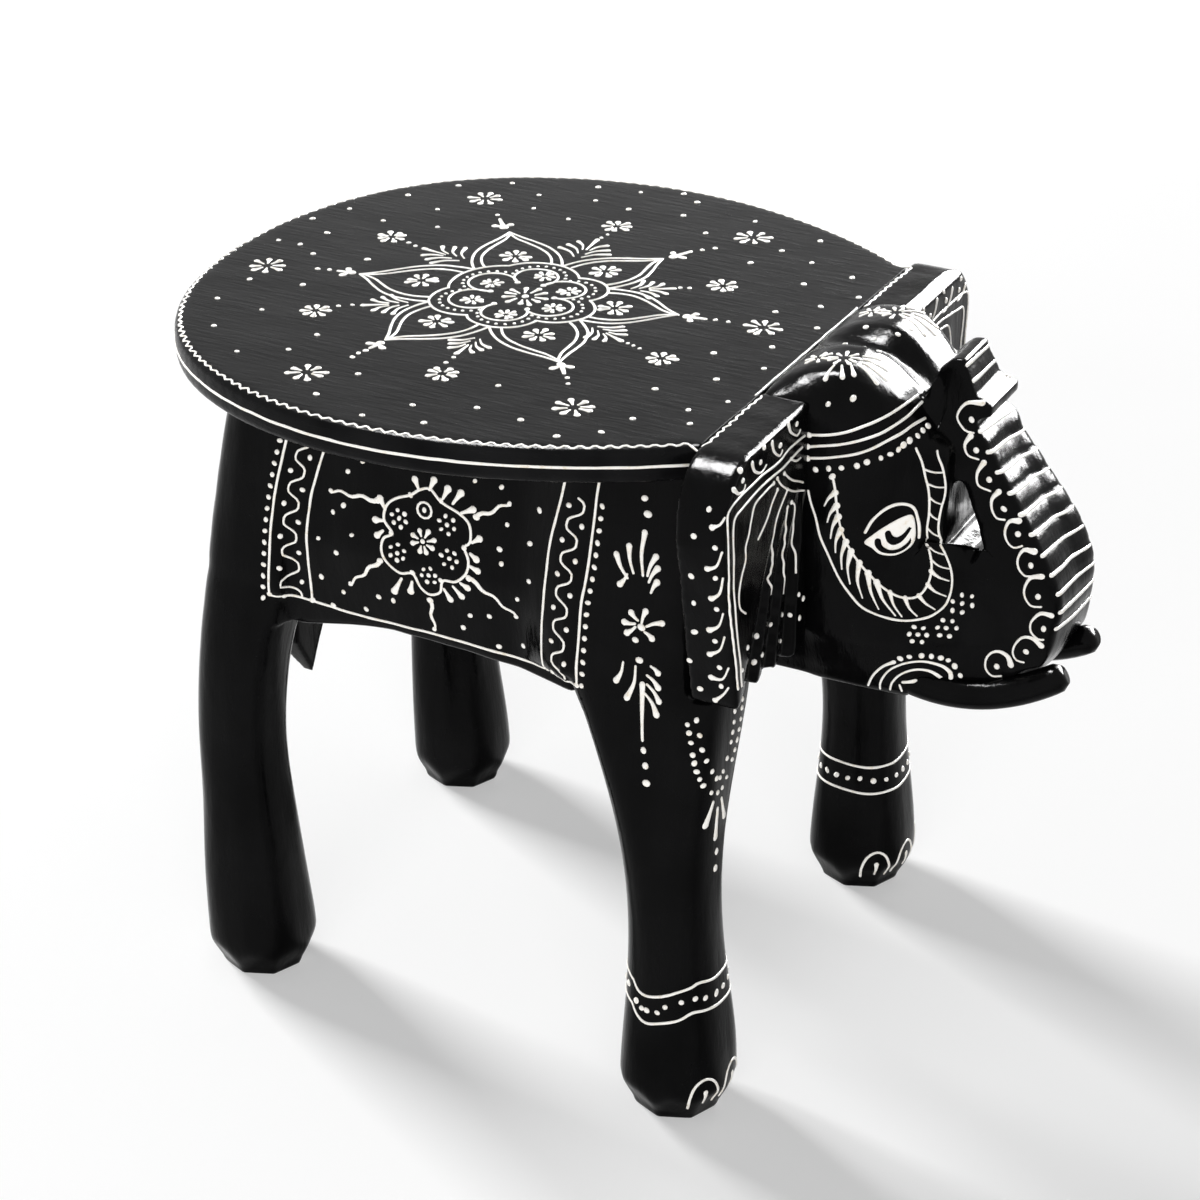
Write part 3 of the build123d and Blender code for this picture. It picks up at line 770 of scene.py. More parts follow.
def seat_faces(count):
    """Faces between the rings, and the fans that close the top and the under side."""
    faces = []
    for ring in range(count - 1):
        faces += band(ring * SEAT_TURNS, (ring + 1) * SEAT_TURNS, SEAT_TURNS)
    middle = count * SEAT_TURNS
    last = middle - SEAT_TURNS
    for i in range(SEAT_TURNS):
        j = (i + 1) % SEAT_TURNS
        faces.append((last + i, last + j, middle))
        faces.append((j, i, middle + 1))
    return faces


def wave_seat(places):
    """Slight unevenness of the hand-worked top."""
    wave = np.array([noise.noise(Vector((x / 26, y / 17, 1.3))) for x, y, _ in places])
    places[:, 2] += 0.16 * (wave - 0.5) * ramp(places[:, 2], 298.5, 299.9)


def build_seat():
    turns = np.arange(SEAT_TURNS) * math.tau / SEAT_TURNS
    rings = seat_rings(turns)
    vertices = []
    for radius, height in rings:
        vertices += [(r * math.cos(t), r * math.sin(t), h) for r, h, t in zip(radius, height, turns)]
    vertices += [(0, 0, SEAT_FACE), (0, 0, SEAT_UNDER)]
    mesh = bpy.data.meshes.new("seat")
    mesh.from_pydata([at(*v) for v in vertices], [], seat_faces(len(rings)))
    reshape(mesh, wave_seat)
    return finished("seat_top", mesh, SEAT_BLACK, ["seat_board"])


# ======== tusks and tail ========
def tube(path, radii, sides, name):
    """Closed round bar along a path with a radius at each point."""
    solid = bmesh.new()
    rings = []
    for i, (place, radius) in enumerate(zip(path, radii)):
        ahead = Vector(path[min(i + 1, len(path) - 1)]) - Vector(path[max(i - 1, 0)])
        across = ahead.cross(Vector((0, 0, 1))).normalized()
        up = across.cross(ahead).normalized()
        ring = []
        for k in range(sides):
            turn = math.tau * k / sides
            spot = Vector(place) + radius * (math.cos(turn) * across + math.sin(turn) * up)
            ring.append(solid.verts.new(at(*spot)))
        rings.append(ring)
    for low, high in zip(rings[:-1], rings[1:]):
        for k in range(sides):
            m = (k + 1) % sides
            solid.faces.new((low[k], low[m], high[m], high[k]))
    solid.faces.new(reversed(rings[0]))
    solid.faces.new(rings[-1])
    bmesh.ops.recalc_face_normals(solid, faces=solid.faces)
    mesh = bpy.data.meshes.new(name)
    solid.to_mesh(mesh)
    solid.free()
    return mesh


TUSK_ROOT = (FACE - 4, 29.5, 183.2)
TUSK_RUN = (61.8, -12.0, 9.4)
TUSK_SAG = 8.8  # how far the middle hangs under a straight line
TUSK_RADIUS, TUSK_THINNING = 6.9, 0.9
TUSK_STEPS, TUSK_SIDES = 26, 20


def build_tusk(side):
    path, radii = [], []
    for i in range(TUSK_STEPS + 1):
        share = i / TUSK_STEPS
        sag = -4 * TUSK_SAG * share * (1 - share)
        path.append((
            TUSK_ROOT[0] + TUSK_RUN[0] * share,
            side * (TUSK_ROOT[1] + TUSK_RUN[1] * share),
            TUSK_ROOT[2] + TUSK_RUN[2] * share + sag,
        ))
        nose = math.sqrt(max(0.0, 1 - ramp(share, 0.93, 1.035) ** 2))
        radii.append((TUSK_RADIUS - TUSK_THINNING * share) * nose)
    name, node = ("tusk_near", "tusk_right") if side == RIGHT else ("tusk_far", "tusk_left")
    mesh = tube(path, radii, TUSK_SIDES, name)
    return finished(name, mesh, BLACK, [node])


def build_tail():
    mesh = skinned(cad_copy(["tail"]), 1.0)
    soften(mesh, 4)
    hand_worked(mesh, 0.4, 12.0, (1, 1, 3))
    return finished("carved_tail", mesh, BLACK, ["tail"])


# ======== raised paint ========
HAND = random.Random(7)
noise.seed_set(1)  # unset, it follows the clock; with 2, 3 or 7 the rim's line falls off by the ear
SUNK = 0.35  # how far paint reaches under the surface
ARCH, SECTION = 6, 8  # points over a bead's arch, and all round its section
WANDER, UNEVEN = 0.22, 0.16  # how far a line strays from its path, and how much its width varies
# A bead's round end: how far out each section lies, and its size, in shares of the last one's.
CAPS = [(out, math.sqrt(1 - out ** 2)) for out in (0.62, 0.92)] + [(1.02, 0.12)]
DOT_SIDES = 10


def spline_points(points, i, closed):
    """The ends of a span and the points before and after it."""
    count = len(points)
    steps = (i - 1, i, i + 1, i + 2)
    return [points[k % count] if closed else points[min(max(k, 0), count - 1)] for k in steps]


def curve(points, step=1.2, closed=False):
    """Smooth line through points, divided into even short steps."""
    points = [Vector(p) for p in points]
    line = []
    for i in range(len(points) if closed else len(points) - 1):
        p0, p1, p2, p3 = spline_points(points, i, closed)
        pieces = max(1, round((p2 - p1).length / step))
        for k in range(pieces):
            t = k / pieces
            line.append(0.5 * (
                2 * p1 + (p2 - p0) * t + (2 * p0 - 5 * p1 + 4 * p2 - p3) * t * t
                + (3 * p1 - p0 - 3 * p2 + p3) * t * t * t
            ))
    if not closed:
        line.append(points[-1])
    return line


def arc(start, middle, end, step=1.2):
    """Points of the circle's arc through three points."""
    (ax, ay), (bx, by), (cx, cy) = start, middle, end
    aa, bb, cc = ax * ax + ay * ay, bx * bx + by * by, cx * cx + cy * cy
    d = 2 * (ax * (by - cy) + bx * (cy - ay) + cx * (ay - by))
    ux = (aa * (by - cy) + bb * (cy - ay) + cc * (ay - by)) / d
    uy = (aa * (cx - bx) + bb * (ax - cx) + cc * (bx - ax)) / d
    radius = math.hypot(ax - ux, ay - uy)
    t0, t1, t2 = (math.atan2(y - uy, x - ux) for x, y in (start, middle, end))
    sweep = (t2 - t0) % math.tau
    if (t1 - t0) % math.tau > sweep:
        sweep -= math.tau
    count = max(2, round(abs(sweep) * radius / step))
    turns = [t0 + sweep * i / count for i in range(count + 1)]
    return [Vector((ux + radius * math.cos(t), uy + radius * math.sin(t))) for t in turns]


class Paint:
    """Raised beads and dots of thick paint, gathered into one mesh."""

    def __init__(self, name):
        self.name = name
        self.places = []
        self.faces = []

    def section(self, centre, across, normal, half, height):
        """Section of a bead: an arch over the surface, closed under it."""
        first = len(self.places)
        for k in range(ARCH):
            turn = math.pi * k / (ARCH - 1)
            self.places.append(centre + across * (half * math.cos(turn)) + normal * (height * math.sin(turn)))
        self.places.append(centre - across * half * 0.9 - normal * SUNK)
        self.places.append(centre + across * half * 0.9 - normal * SUNK)
        return first

    def line(self, place, points, width=0.95, height=0.42, closed=False, ends=None, smooth=True,
             taper=1.6):
        """A bead along a line of flat points; ends are its widths at the two ends."""
        path = curve(points, closed=closed) if smooth else [Vector(p) for p in points]
        jitter = Vector((HAND.uniform(0, 50), HAND.uniform(0, 50), 0))
        spots = self.laid(place, path, jitter)
        count = len(spots)
        if count < 2:
            return
        rings = []
        for i, (centre, normal, share) in enumerate(spots):
            after = spots[(i + 1) % count if closed else min(i + 1, count - 1)]
            before = spots[(i - 1) % count if closed else max(i - 1, 0)]
            ahead = after[0] - before[0]
            if ahead.length < 1e-6:
                continue
            normal = (normal + after[1] + before[1]).normalized()
            across = ahead.cross(normal).normalized()
            swell = 1 + UNEVEN * noise.noise(Vector((i * 0.21, 5, 0)) + jitter)
            if ends:
                half, lift = self.tapered(share, ends, height, swell, taper)
            else:
                half, lift = 0.5 * width * swell, height * swell
            rings.append((centre, across, normal, half, lift, ahead.normalized()))
        if not closed:
            rings = self.rounded(rings)
        self.join([self.section(*r[:5]) for r in rings], closed)

    @staticmethod
    def laid(place, path, jitter):
        """Places and normals on the surface along a path that wanders a little, with their shares of it."""
        spots = []
        for i, p in enumerate(path):
            wander = noise.noise_vector(Vector((i * 0.13, 0, 0)) + jitter) * WANDER
            spot = place(p[0] + wander[0], p[1] + wander[1])
            if spot:
                spots.append((*spot, i / max(1, len(path) - 1)))
        return spots

    @staticmethod
    def tapered(share, ends, height, swell, taper):
        """Half width and height at a share of a bead whose ends differ in width."""
        fat, thin = max(ends), min(ends)
        toward = share if ends[1] > ends[0] else 1 - share
        half = 0.5 * (thin + (fat - thin) * toward ** taper) * swell
        return half, height * (0.55 + 0.45 * min(1.0, 2 * half / fat))

    @staticmethod
    def rounded(rings):
        """Adds the two round ends of a bead."""
        def cap(ring, sign):
            centre, across, normal, half, lift, ahead = ring
            return [
                (centre + ahead * (sign * half * out), across, normal, half * size, lift * size, ahead)
                for out, size in CAPS
            ]
        return list(reversed(cap(rings[0], -1))) + rings + cap(rings[-1], 1)

    def join(self, firsts, closed):
        """Faces between the sections of a bead, and over its two ends."""
        pairs = list(zip(firsts[:-1], firsts[1:]))
        if closed:
            pairs.append((firsts[-1], firsts[0]))
        for low, high in pairs:
            for k in range(SECTION):
                m = (k + 1) % SECTION
                self.faces.append((low + k, high + k, high + m, low + m))
        if not closed:
            self.faces.append(tuple(firsts[0] + k for k in range(SECTION)))
            self.faces.append(tuple(firsts[-1] + k for k in reversed(range(SECTION))))

    def wall(self, first, count, levels):
        """Faces between levels of count places each."""
        for level in range(levels - 1):
            self.faces += band(first + level * count, first + (level + 1) * count, count)

    def dot(self, place, a, b, radius):
        """A round drop of paint, a little uneven."""
        spot = place(a, b)
        if not spot:
            return
        centre, normal = spot
        east = normal.orthogonal().normalized()
        north = normal.cross(east)
        long = 1 + HAND.uniform(0, 0.16)
        lie = HAND.uniform(0, math.tau)
        cu, su = math.cos(lie), math.sin(lie)
        tall = 0.3 + 0.26 * radius
        levels = [(0.95, -SUNK), (1.0, 0.12 * tall), (0.86, 0.55 * tall), (0.52, 0.9 * tall)]
        first = len(self.places)
        for reach, rise in levels:
            for k in range(DOT_SIDES):
                turn = math.tau * k / DOT_SIDES
                u = math.cos(turn) * radius * reach * long
                v = math.sin(turn) * radius * reach / long
                out, up = u * cu - v * su, u * su + v * cu
                self.places.append(centre + east * out + north * up + normal * rise)
        self.places.append(centre + normal * tall)
        self.wall(first, DOT_SIDES, len(levels))
        top = len(self.places) - 1
        last = top - DOT_SIDES
        for k in range(DOT_SIDES):
            self.faces.append((last + k, last + (k + 1) % DOT_SIDES, top))
        self.faces.append(tuple(first + k for k in reversed(range(DOT_SIDES))))

    def drop(self, place, tail, head, thin=0.7, fat=2.3, bend=0.0, height=0.6):
        """A teardrop from its thin tail to its fat round head."""
        tail, head = Vector(tail), Vector(head)
        run = head - tail
        side = Vector((-run[1], run[0]))
        middle = (tail + head) / 2 + side * bend
        self.line(place, [tail, middle, head], height=height, ends=(thin, fat), taper=2.0)

    def patch(self, place, outline, height):
        """A filled thin patch of paint inside a closed outline."""
        rim = [place(p[0], p[1]) for p in curve(outline, closed=True, step=0.8)]
        rim = [spot for spot in rim if spot]
        count = len(rim)
        first = len(self.places)
        middle = sum((spot[0] for spot in rim), Vector()) / count
        for rise, pull in ((-SUNK, 0.0), (0.7 * height, 0.0), (height, 0.08)):
            for centre, normal in rim:
                self.places.append(centre + (middle - centre) * pull + normal * rise)
        self.wall(first, count, 3)
        self.faces.append(tuple(first + 2 * count + k for k in range(count)))
        self.faces.append(tuple(first + k for k in reversed(range(count))))

    def piece(self, material=CREAM, slot="cream_paint"):
        """The finished object."""
        mesh = bpy.data.meshes.new(self.name)
        mesh.from_pydata([at(*p) for p in self.places], [], self.faces)
        solid = bmesh.new()
        solid.from_mesh(mesh)
        bmesh.ops.recalc_face_normals(solid, faces=solid.faces)
        solid.to_mesh(mesh)
        solid.free()
        return finished(self.name, mesh, material)


# ---- motifs ----
def polar(a, b, reach, degrees):
    turn = math.radians(degrees)
    return (a + reach * math.cos(turn), b + reach * math.sin(turn))


def daisy(paint, place, a, b, radius, petals=8, fat=2.8, heart=0.32):
    """Teardrop petals round an open heart, spaced by hand."""
    start = HAND.uniform(0, 45)
    for i in range(petals):
        turn = start + 360 * i / petals + HAND.uniform(-6, 6)
        reach = radius * HAND.uniform(0.88, 1.06)
        tail = polar(a, b, radius * heart, turn)
        head = polar(a, b, reach - fat / 2, turn + HAND.uniform(-5, 5))
        paint.drop(place, tail, head, thin=0.9, fat=fat)


def dots(paint, place, spots, radius):
    for a, b in spots:
        paint.dot(place, a, b, radius * HAND.uniform(0.85, 1.15))


def drops(paint, place, pairs, **shape):
    """Teardrops of one shape, from their tails to their heads."""
    for tail, head in pairs:
        paint.drop(place, tail, head, **shape)


def curls(paint, place, rows, fat, radius):
    """Hooked strokes that thin out, and a dot in the bend of each, which is the last point of its row."""
    for *line, spot in rows:
        paint.line(place, line, ends=(fat, 0.85), height=0.6, taper=4)
        paint.dot(place, *spot, radius)


def dotted(paint, place, points, pitch, radius):
    """A row of dots along a line."""
    for p in curve(points, step=pitch):
        paint.dot(place, p[0], p[1], radius * HAND.uniform(0.88, 1.12))


SPRAY_FAT = 2.4
SPRAY_LEAVES = ((0.0, 0.52), (0.2, 0.42), (0.42, 0.30))  # share along the sprig, and spread of a pair


def spray(paint, place, start, tip, after):
    """A leafy sprig: a long middle drop and three pairs of leaves, with dots past its tip."""
    start, tip = Vector(start), Vector(tip)
    run = tip - start
    side = Vector((-run[1], run[0]))
    paint.drop(place, start + run * 0.45, tip, thin=0.8, fat=SPRAY_FAT)
    for share, spread in SPRAY_LEAVES:
        for hand in (-1, 1):
            tail = start + run * (share + 0.02) + side * (hand * 0.08)
            head = start + run * (share + 0.36) + side * (hand * spread)
            paint.drop(place, tail, head, thin=0.7, fat=SPRAY_FAT * 0.9, bend=-0.12 * hand)
    dots(paint, place, after, 0.9)


def finial(paint, place, base, tip, after):
    """A fat drop with two side lobes in front of a petal's point."""
    base, tip = Vector(base), Vector(tip)
    run = (tip - base).normalized()
    side = Vector((-run[1], run[0]))
    paint.dot(place, base[0], base[1], 1.9)
    for hand in (-1, 1):
        paint.drop(place, base + run * 1.0, base + side * (hand * 3.6) + run * 2.8, thin=1.5, fat=2.9)
    paint.drop(place, base, tip, thin=2.9, fat=1.6, height=0.65)
    dots(paint, place, after, 1.1)


def waves(start, end, amplitude, period):
    """Points of a wavy line between two places."""
    start, end = Vector(start), Vector(end)
    run = end - start
    side = Vector((-run[1], run[0])).normalized()
    count = max(4, round(run.length / period * 6))
    points = []
    for i in range(count + 1):
        swing = math.sin(math.tau * run.length * i / count / period)
        points.append(start + run * (i / count) + side * amplitude * swing)
    return points


# ---- seat ----
# The flower's six parts, clockwise as seen from above: points of the lines between the petals, and
# for each petal its tip and the middle of its daisy.
JUNCTIONS = [(14, 33), (37, 4), (25, -31), (-15, -32), (-35, -1), (-21, 28)]
NOTCHES = [(23, 18), (30.5, -10), (8, -31.5), (-25, -21), (-26, 12), (-6, 27.5)]
LOBES = [(8, 25.5), (30, 3), (15, -26.5), (-3, -28), (-28, -3), (-11, 21.5)]
KNOBS = [(15, 9.5), (16, -6.5), (4, -15), (-11, -9.5), (-13, 2.5), (-2, 14)]
HEARTS = [(8, 18), (23, 4), (15, -16), (-4.5, -18), (-21.5, -2), (-11, 15)]
PETALS = [
    ((56, 46), (35.5, 26)), ((68, -26), (42, -17.5)), ((12, -72), (6.3, -45.5)), ((-60, -40), (-36, -24)),
    ((-62, 33), (-38, 18)), ((-9, 66), (-3.5, 40)),
]
# A petal's side and the line inside it, as shares of its length and of half its width.
PETAL_SIDE = [(0.0, 1.0), (0.16, 1.03), (0.36, 0.98), (0.55, 0.80), (0.7, 0.55), (0.84, 0.27), (1.0, 0.0)]
PETAL_INNER = [(0.06, 0.76), (0.2, 0.8), (0.36, 0.76), (0.52, 0.6), (0.66, 0.38), (0.8, 0.15), (0.95, 0.0)]
FINIALS = [
    ((58, 48), (65, 53), [(68, 56), (73, 59)]),
    ((72, -26), (78, -27), [(81, -27.3), (84.5, -28.5), (89, -28.5)]),
    ((12, -76), (13, -82), [(13.5, -86), (15, -91)]), ((-64, -45), (-72, -51.5), [(-76, -55)]),
    ((-66, 36), (-75, 40), [(-79, 43.5), (-83.5, 47.5)]), ((-9, 70), (-10, 78), [(-11, 82), (-11.5, 87.5)]),
]
SPRAYS = [
    ((18, 42), (26, 58), [(27, 61.5), (28, 64.5), (29.5, 68)]), ((50, 6), (67, 6), [(71, 7), (77, 7)]),
    ((31, -37), (41, -53), [(42.5, -57), (46, -61.5)]),
    ((-22, -42), (-26, -63), [(-27, -68), (-29, -72.5)]), ((-47, 0), (-69, -2), [(-72, -1.5), (-77, -1)]),
    ((-24, 37), (-34, 52), [(-36, 54), (-37.5, 57.5)]),
]
SEAT_DAISIES = [
    (34.4, 80, 7), (87, 11, 7), (54.6, -67.4, 7), (-31.8, -82.6, 7), (-87.8, -2, 7), (-46, 69, 7),
    (-12.5, 102.5, 8.5), (-102.5, 56.5, 8.5), (-92, -70, 8.5), (21.6, -112, 8.5), (110, -36.5, 8.5),
    (91.8, 71.4, 8.5),
]
SEAT_DOTS = [
    (-60, 124), (-79, 113), (-63, 98), (-44, 114), (-22, 122), (-30, 100), (4, 114), (25, 120), (60, 121),
    (85, 117), (43, 108), (74, 111), (62, 91), (20, 96), (91, 96), (107, 91), (118, 78), (111, 59),
    (109, 39), (87, 36), (130, 28), (118, 16), (135, 4), (102, -18), (126, -22), (94, -55), (76, -53),
    (105, -72), (87, -95), (64, -87), (62, -110), (33, -87), (38, -110), (1, -102), (-6, -113), (-6, -124),
    (-23, -110), (-35, -125), (-47, -96), (-53, -117), (-80, -103), (-70, -82), (-101, -89), (-51, -71),
    (-4, -78), (-115, -69), (-107, -51), (-91, -45), (-128, -32), (-112, -25), (-86, -25), (-131, -12),
    (-109, -7), (-138, 6), (-131, 16), (-113, 18), (-98, 36), (-121, 49), (-75, 68), (-94, 74), (-112, 84),
    (-87, 91),
]


def petal_line(first, last, tip, profile):
    """One petal's line from one side of its base over the tip to the other side."""
    first, last, tip = Vector(first), Vector(last), Vector(tip)
    middle = (first + last) / 2
    run = tip - middle
    half = (last - first) / 2
    one = [middle + run * along - half * out for along, out in profile]
    other = [middle + run * along + half * out for along, out in profile[:-1]]
    return one, list(reversed(other))


def petal_lobes(paint, place, i):
    """The arcs between two petals, with their dots."""
    paint.line(place, arc(NOTCHES[i - 1], JUNCTIONS[i], NOTCHES[i]), width=1.15, smooth=False)
    paint.line(place, arc(KNOBS[i - 1], LOBES[i], KNOBS[i]), width=1.1, smooth=False)
    paint.dot(place, KNOBS[i][0] * 0.93, KNOBS[i][1] * 0.93, 1.3)
    rows = ((KNOBS[i - 1], NOTCHES[i - 1]), (LOBES[i], JUNCTIONS[i]), (KNOBS[i], NOTCHES[i]))
    between = [(Vector(p) + Vector(q)) / 2 for p, q in rows]
    for p in arc(*between, step=3.6)[:-1]:
        paint.dot(place, p[0], p[1], 0.75)


def paint_seat(seat):
    place = Skin(seat).from_above
    paint = Paint("seat_ornament")
    for i, (tip, heart) in enumerate(PETALS):
        for profile in (PETAL_SIDE, PETAL_INNER):
            one, other = petal_line(JUNCTIONS[i], JUNCTIONS[(i + 1) % 6], tip, profile)
            paint.line(place, one, width=1.15)
            paint.line(place, [one[-1]] + other, width=1.15)
        daisy(paint, place, *heart, 7.2)
        petal_lobes(paint, place, i)
        daisy(paint, place, *HEARTS[i], 5.1, petals=8, fat=1.9)
        finial(paint, place, *FINIALS[i])
        spray(paint, place, *SPRAYS[i])
    daisy(paint, place, 2, 1.5, 10.3, petals=11, fat=2.4, heart=0.42)
    paint.dot(place, 2, 1.5, 1.6)
    for a, b, radius in SEAT_DAISIES:
        daisy(paint, place, a, b, radius)
    dots(paint, place, SEAT_DOTS, 1.2)
    paint.piece()


RIM_INSET, RIM_WAVE, RIM_PERIOD = 3.1, 0.8, 5.6
NECK_HALF = 50
EDGE_HEIGHT = 292.3  # of the line round the board's edge
EDGE_TURNS = [degrees / 2 for degrees in range(79, 642)]  # from ear to ear round the back


def rim_lines():
    """The wavy line inside the seat's rim, along the seam at the ears, and the plain one at the neck."""
    turns = [math.tau * i / SEAT_TURNS for i in range(SEAT_TURNS)]
    corners = [Vector((r * math.cos(t), r * math.sin(t))) for t, r in zip(turns, seat_reach())]
    wavy, plain, gone = [], [], 0.0
    for step in range(SEAT_TURNS):
        i = (step + SEAT_TURNS // 2) % SEAT_TURNS
        corner, after = corners[i], corners[(i + 1) % SEAT_TURNS]
        along = (after - corners[i - 1]).normalized()
        inward = Vector((-along[1], along[0]))
        chord = float(ramp(corner[0], SEAT_CHORD - 2.5, SEAT_CHORD - 0.8))
        neck = chord > 0.5 and abs(corner[1]) < NECK_HALF
        drift = 0.9 + 0.8 * noise.noise(Vector((gone * 0.03, 0, 0)))
        swing = RIM_WAVE * (1 - 0.3 * chord) * drift * math.sin(math.tau * gone / RIM_PERIOD)
        away = 1.3 if neck else RIM_INSET - chord * (RIM_INSET + 2.0) + swing
        p = corner + inward * away
        (plain if neck else wavy).append(Vector((-p[1], p[0])))
        gone += (after - corner).length
    first = next(k for k, p in enumerate(wavy[:-1]) if (wavy[k + 1] - p).length > 40)
    return wavy[first + 1:] + wavy[:first + 1], plain


def paint_rim(seat, ears):
    top = Skin(seat, ears)
    paint = Paint("rim_ornament")
    wavy, plain = rim_lines()
    paint.line(top.from_above, wavy, width=0.95, height=0.36, smooth=False)
    paint.line(top.from_above, plain, width=0.75, height=0.3, smooth=False)
    around = [(turn, 0) for turn in EDGE_TURNS]
    paint.line(Skin(seat).round_seat(EDGE_HEIGHT), around, width=1.2, height=0.34, smooth=False)
    paint.piece()


# ---- belly ----
REAR_BORDER = (
    [(-59, 262), (-63, 244), (-66, 223), (-67, 204), (-67.5, 190)],
    [(-41, 262), (-46, 246), (-49, 233), (-51, 211), (-52, 187)],
)
FRONT_BORDER = (
    [(83.5, 274), (81, 237), (79, 219), (78.5, 187)],
    [(69, 272), (66.5, 258), (63, 241), (60.5, 210), (60, 184)],
)
BELLY_EDGE = [
    (-67.5, 189.5), (-60, 187.5), (-45, 186), (-28, 185), (0, 185), (20, 184.5), (48, 183.5), (60, 184),
    (78.5, 186.5),
]
MEDALLION = [
    (7, 251.5), (12, 247), (20, 244), (25, 240), (25.5, 233), (23, 230), (25, 225), (24, 219), (19, 214),
    (13, 213), (11, 207), (6, 204.5), (2, 207), (-1, 213), (-7, 212), (-13, 216), (-15, 221), (-14, 226),
    (-10, 229), (-14, 234), (-13, 240), (-9, 244), (-2, 247), (2, 250),
]
MEDALLION_KNOBS = [(-1, 213.5), (12, 213), (-10.5, 229), (23, 230), (12, 247.5), (-2, 247)]
CLUSTERS = [(-7, 236), (15, 238), (-7.5, 221), (6.5, 214), (16.5, 224)]
MEDALLION_DROPS = [
    ((1.7, 250.6), (0, 253.8)), ((6.9, 251.2), (8.7, 255.6)), ((12.9, 248.7), (15, 253)),
    ((17.5, 247.4), (20.8, 252.6)), ((21.2, 244.2), (26.3, 246.8)), ((-13.5, 238.4), (-15.8, 242.4)),
    ((-14.3, 233.4), (-17.8, 233.1)), ((-14.4, 229), (-17, 226.6)), ((26.6, 233), (29.6, 235.2)),
    ((26, 228.1), (28.6, 226.4)), ((25.4, 223), (29.2, 221.5)), ((21.4, 214), (24.2, 212.6)),
    ((-6.6, 209.2), (-10.8, 202)), ((-1.7, 209), (-2.9, 204)), ((13, 209), (15.4, 204.6)),
    ((17.6, 211.4), (21, 207.6)),
]
RAYS = [
    ((-17, 241.6), (-39, 241)), ((28, 244), (42.6, 252.8)), ((-16, 215.4), (-32, 200.2)),
    ((25.4, 217.4), (45.6, 204.2)), ((5.6, 201.6), (6, 187.5)),
]
BELLY_DOTS = [
    (-31, 251), (-38, 232), (-29, 224), (-45, 219), (-37, 214), (-46, 200), (-36, 195), (-42, 187),
    (-26, 189), (-19, 197), (-12, 197), (20, 192), (24, 199), (33, 201), (36, 187), (48, 191), (47, 213),
    (53, 223), (53, 239), (42, 244), (40, 227), (39, 233), (57, 254), (39, 259), (27, 259), (-24, 257),
    (-33, 236),
]
BORDER_LOW, BORDER_HIGH = 187.0, 264.0
BORDER_PITCH, BORDER_SWING = 14.5, 3.4


def level_with(line, z):
    """How far to the head a line that runs down passes a height."""
    climbing = list(reversed(line))
    return float(np.interp(z, [p[1] for p in climbing], [p[0] for p in climbing]))


def border(paint, place, outer, inner, away):
    """Two lines with a wave between them, a dot in each hollow and dots along the outer line."""
    for line in (outer, inner):
        paint.line(place, line, width=1.15)
    out, into = curve(outer, 1.2), curve(inner, 1.2)

    def middle(z):
        return (level_with(out, z) + level_with(into, z)) / 2

    wave = []
    z = BORDER_HIGH
    while z > BORDER_LOW:
        turn = math.tau * (BORDER_HIGH - z) / BORDER_PITCH
        wave.append((middle(z) + BORDER_SWING * (math.sin(turn) + 0.12 * math.sin(3 * turn)), z))
        z -= 1.3
    paint.line(place, wave, width=1.0)
    for step in range(11):
        z = BORDER_HIGH - BORDER_PITCH * (step + 0.5) / 2
        sign = -1 if step % 2 == 0 else 1
        paint.dot(place, middle(z) + sign * 3.6, z, 1.2)
    for z in np.arange(BORDER_LOW + 1, BORDER_HIGH, 5.0):
        paint.dot(place, level_with(out, z) + away * 2.7, z, 1.15)


def cluster(paint, place, a, b, spread=3.5, radius=1.05):
    """Seven dots: one in the middle and six round it."""
    paint.dot(place, a, b, radius)
    start = HAND.uniform(0, 60)
    for i in range(6):
        p = polar(a, b, spread * HAND.uniform(0.9, 1.1), start + 60 * i)
        paint.dot(place, p[0], p[1], radius * HAND.uniform(0.85, 1.1))


def paint_medallion(paint, place):
    """The lobed line with its knobs, a ring and a daisy inside it, and rays and drops round it."""
    paint.line(place, MEDALLION, width=1.2, closed=True)
    dots(paint, place, MEDALLION_KNOBS, 1.35)
    ring = [polar(4.5, 242, 3.3, 30 * i) for i in range(12)]
    paint.line(place, ring, width=1.1, closed=True)
    paint.dot(place, 4.5, 242, 1.1)
    daisy(paint, place, 4, 228.5, 6.4, petals=8, fat=2.5, heart=0.36)
    paint.dot(place, 4, 228.5, 1.1)
    for a, b in CLUSTERS:
        cluster(paint, place, a, b)
    drops(paint, place, MEDALLION_DROPS, thin=1.3, fat=3.3)
    for start, end in RAYS:
        paint.line(place, waves(start, end, 0.7, 10.0), ends=(2.3, 1.1))
        paint.dot(place, *start, 1.5)
        paint.dot(place, *end, 1.1)


def paint_belly(body):
    paint = Paint("belly_ornament")
    skin = Skin(body)
    for side in (RIGHT, LEFT):
        place = skin.from_side(side)
        border(paint, place, *REAR_BORDER, away=-1)
        border(paint, place, *FRONT_BORDER, away=1)
        paint.line(place, BELLY_EDGE, width=1.2)
        dots(paint, place, [(78.5, 187), (60, 184.5), (-52, 187), (-67.5, 190)], 1.4)
        paint_medallion(paint, place)
        dots(paint, place, BELLY_DOTS, 1.15)
    paint.piece()


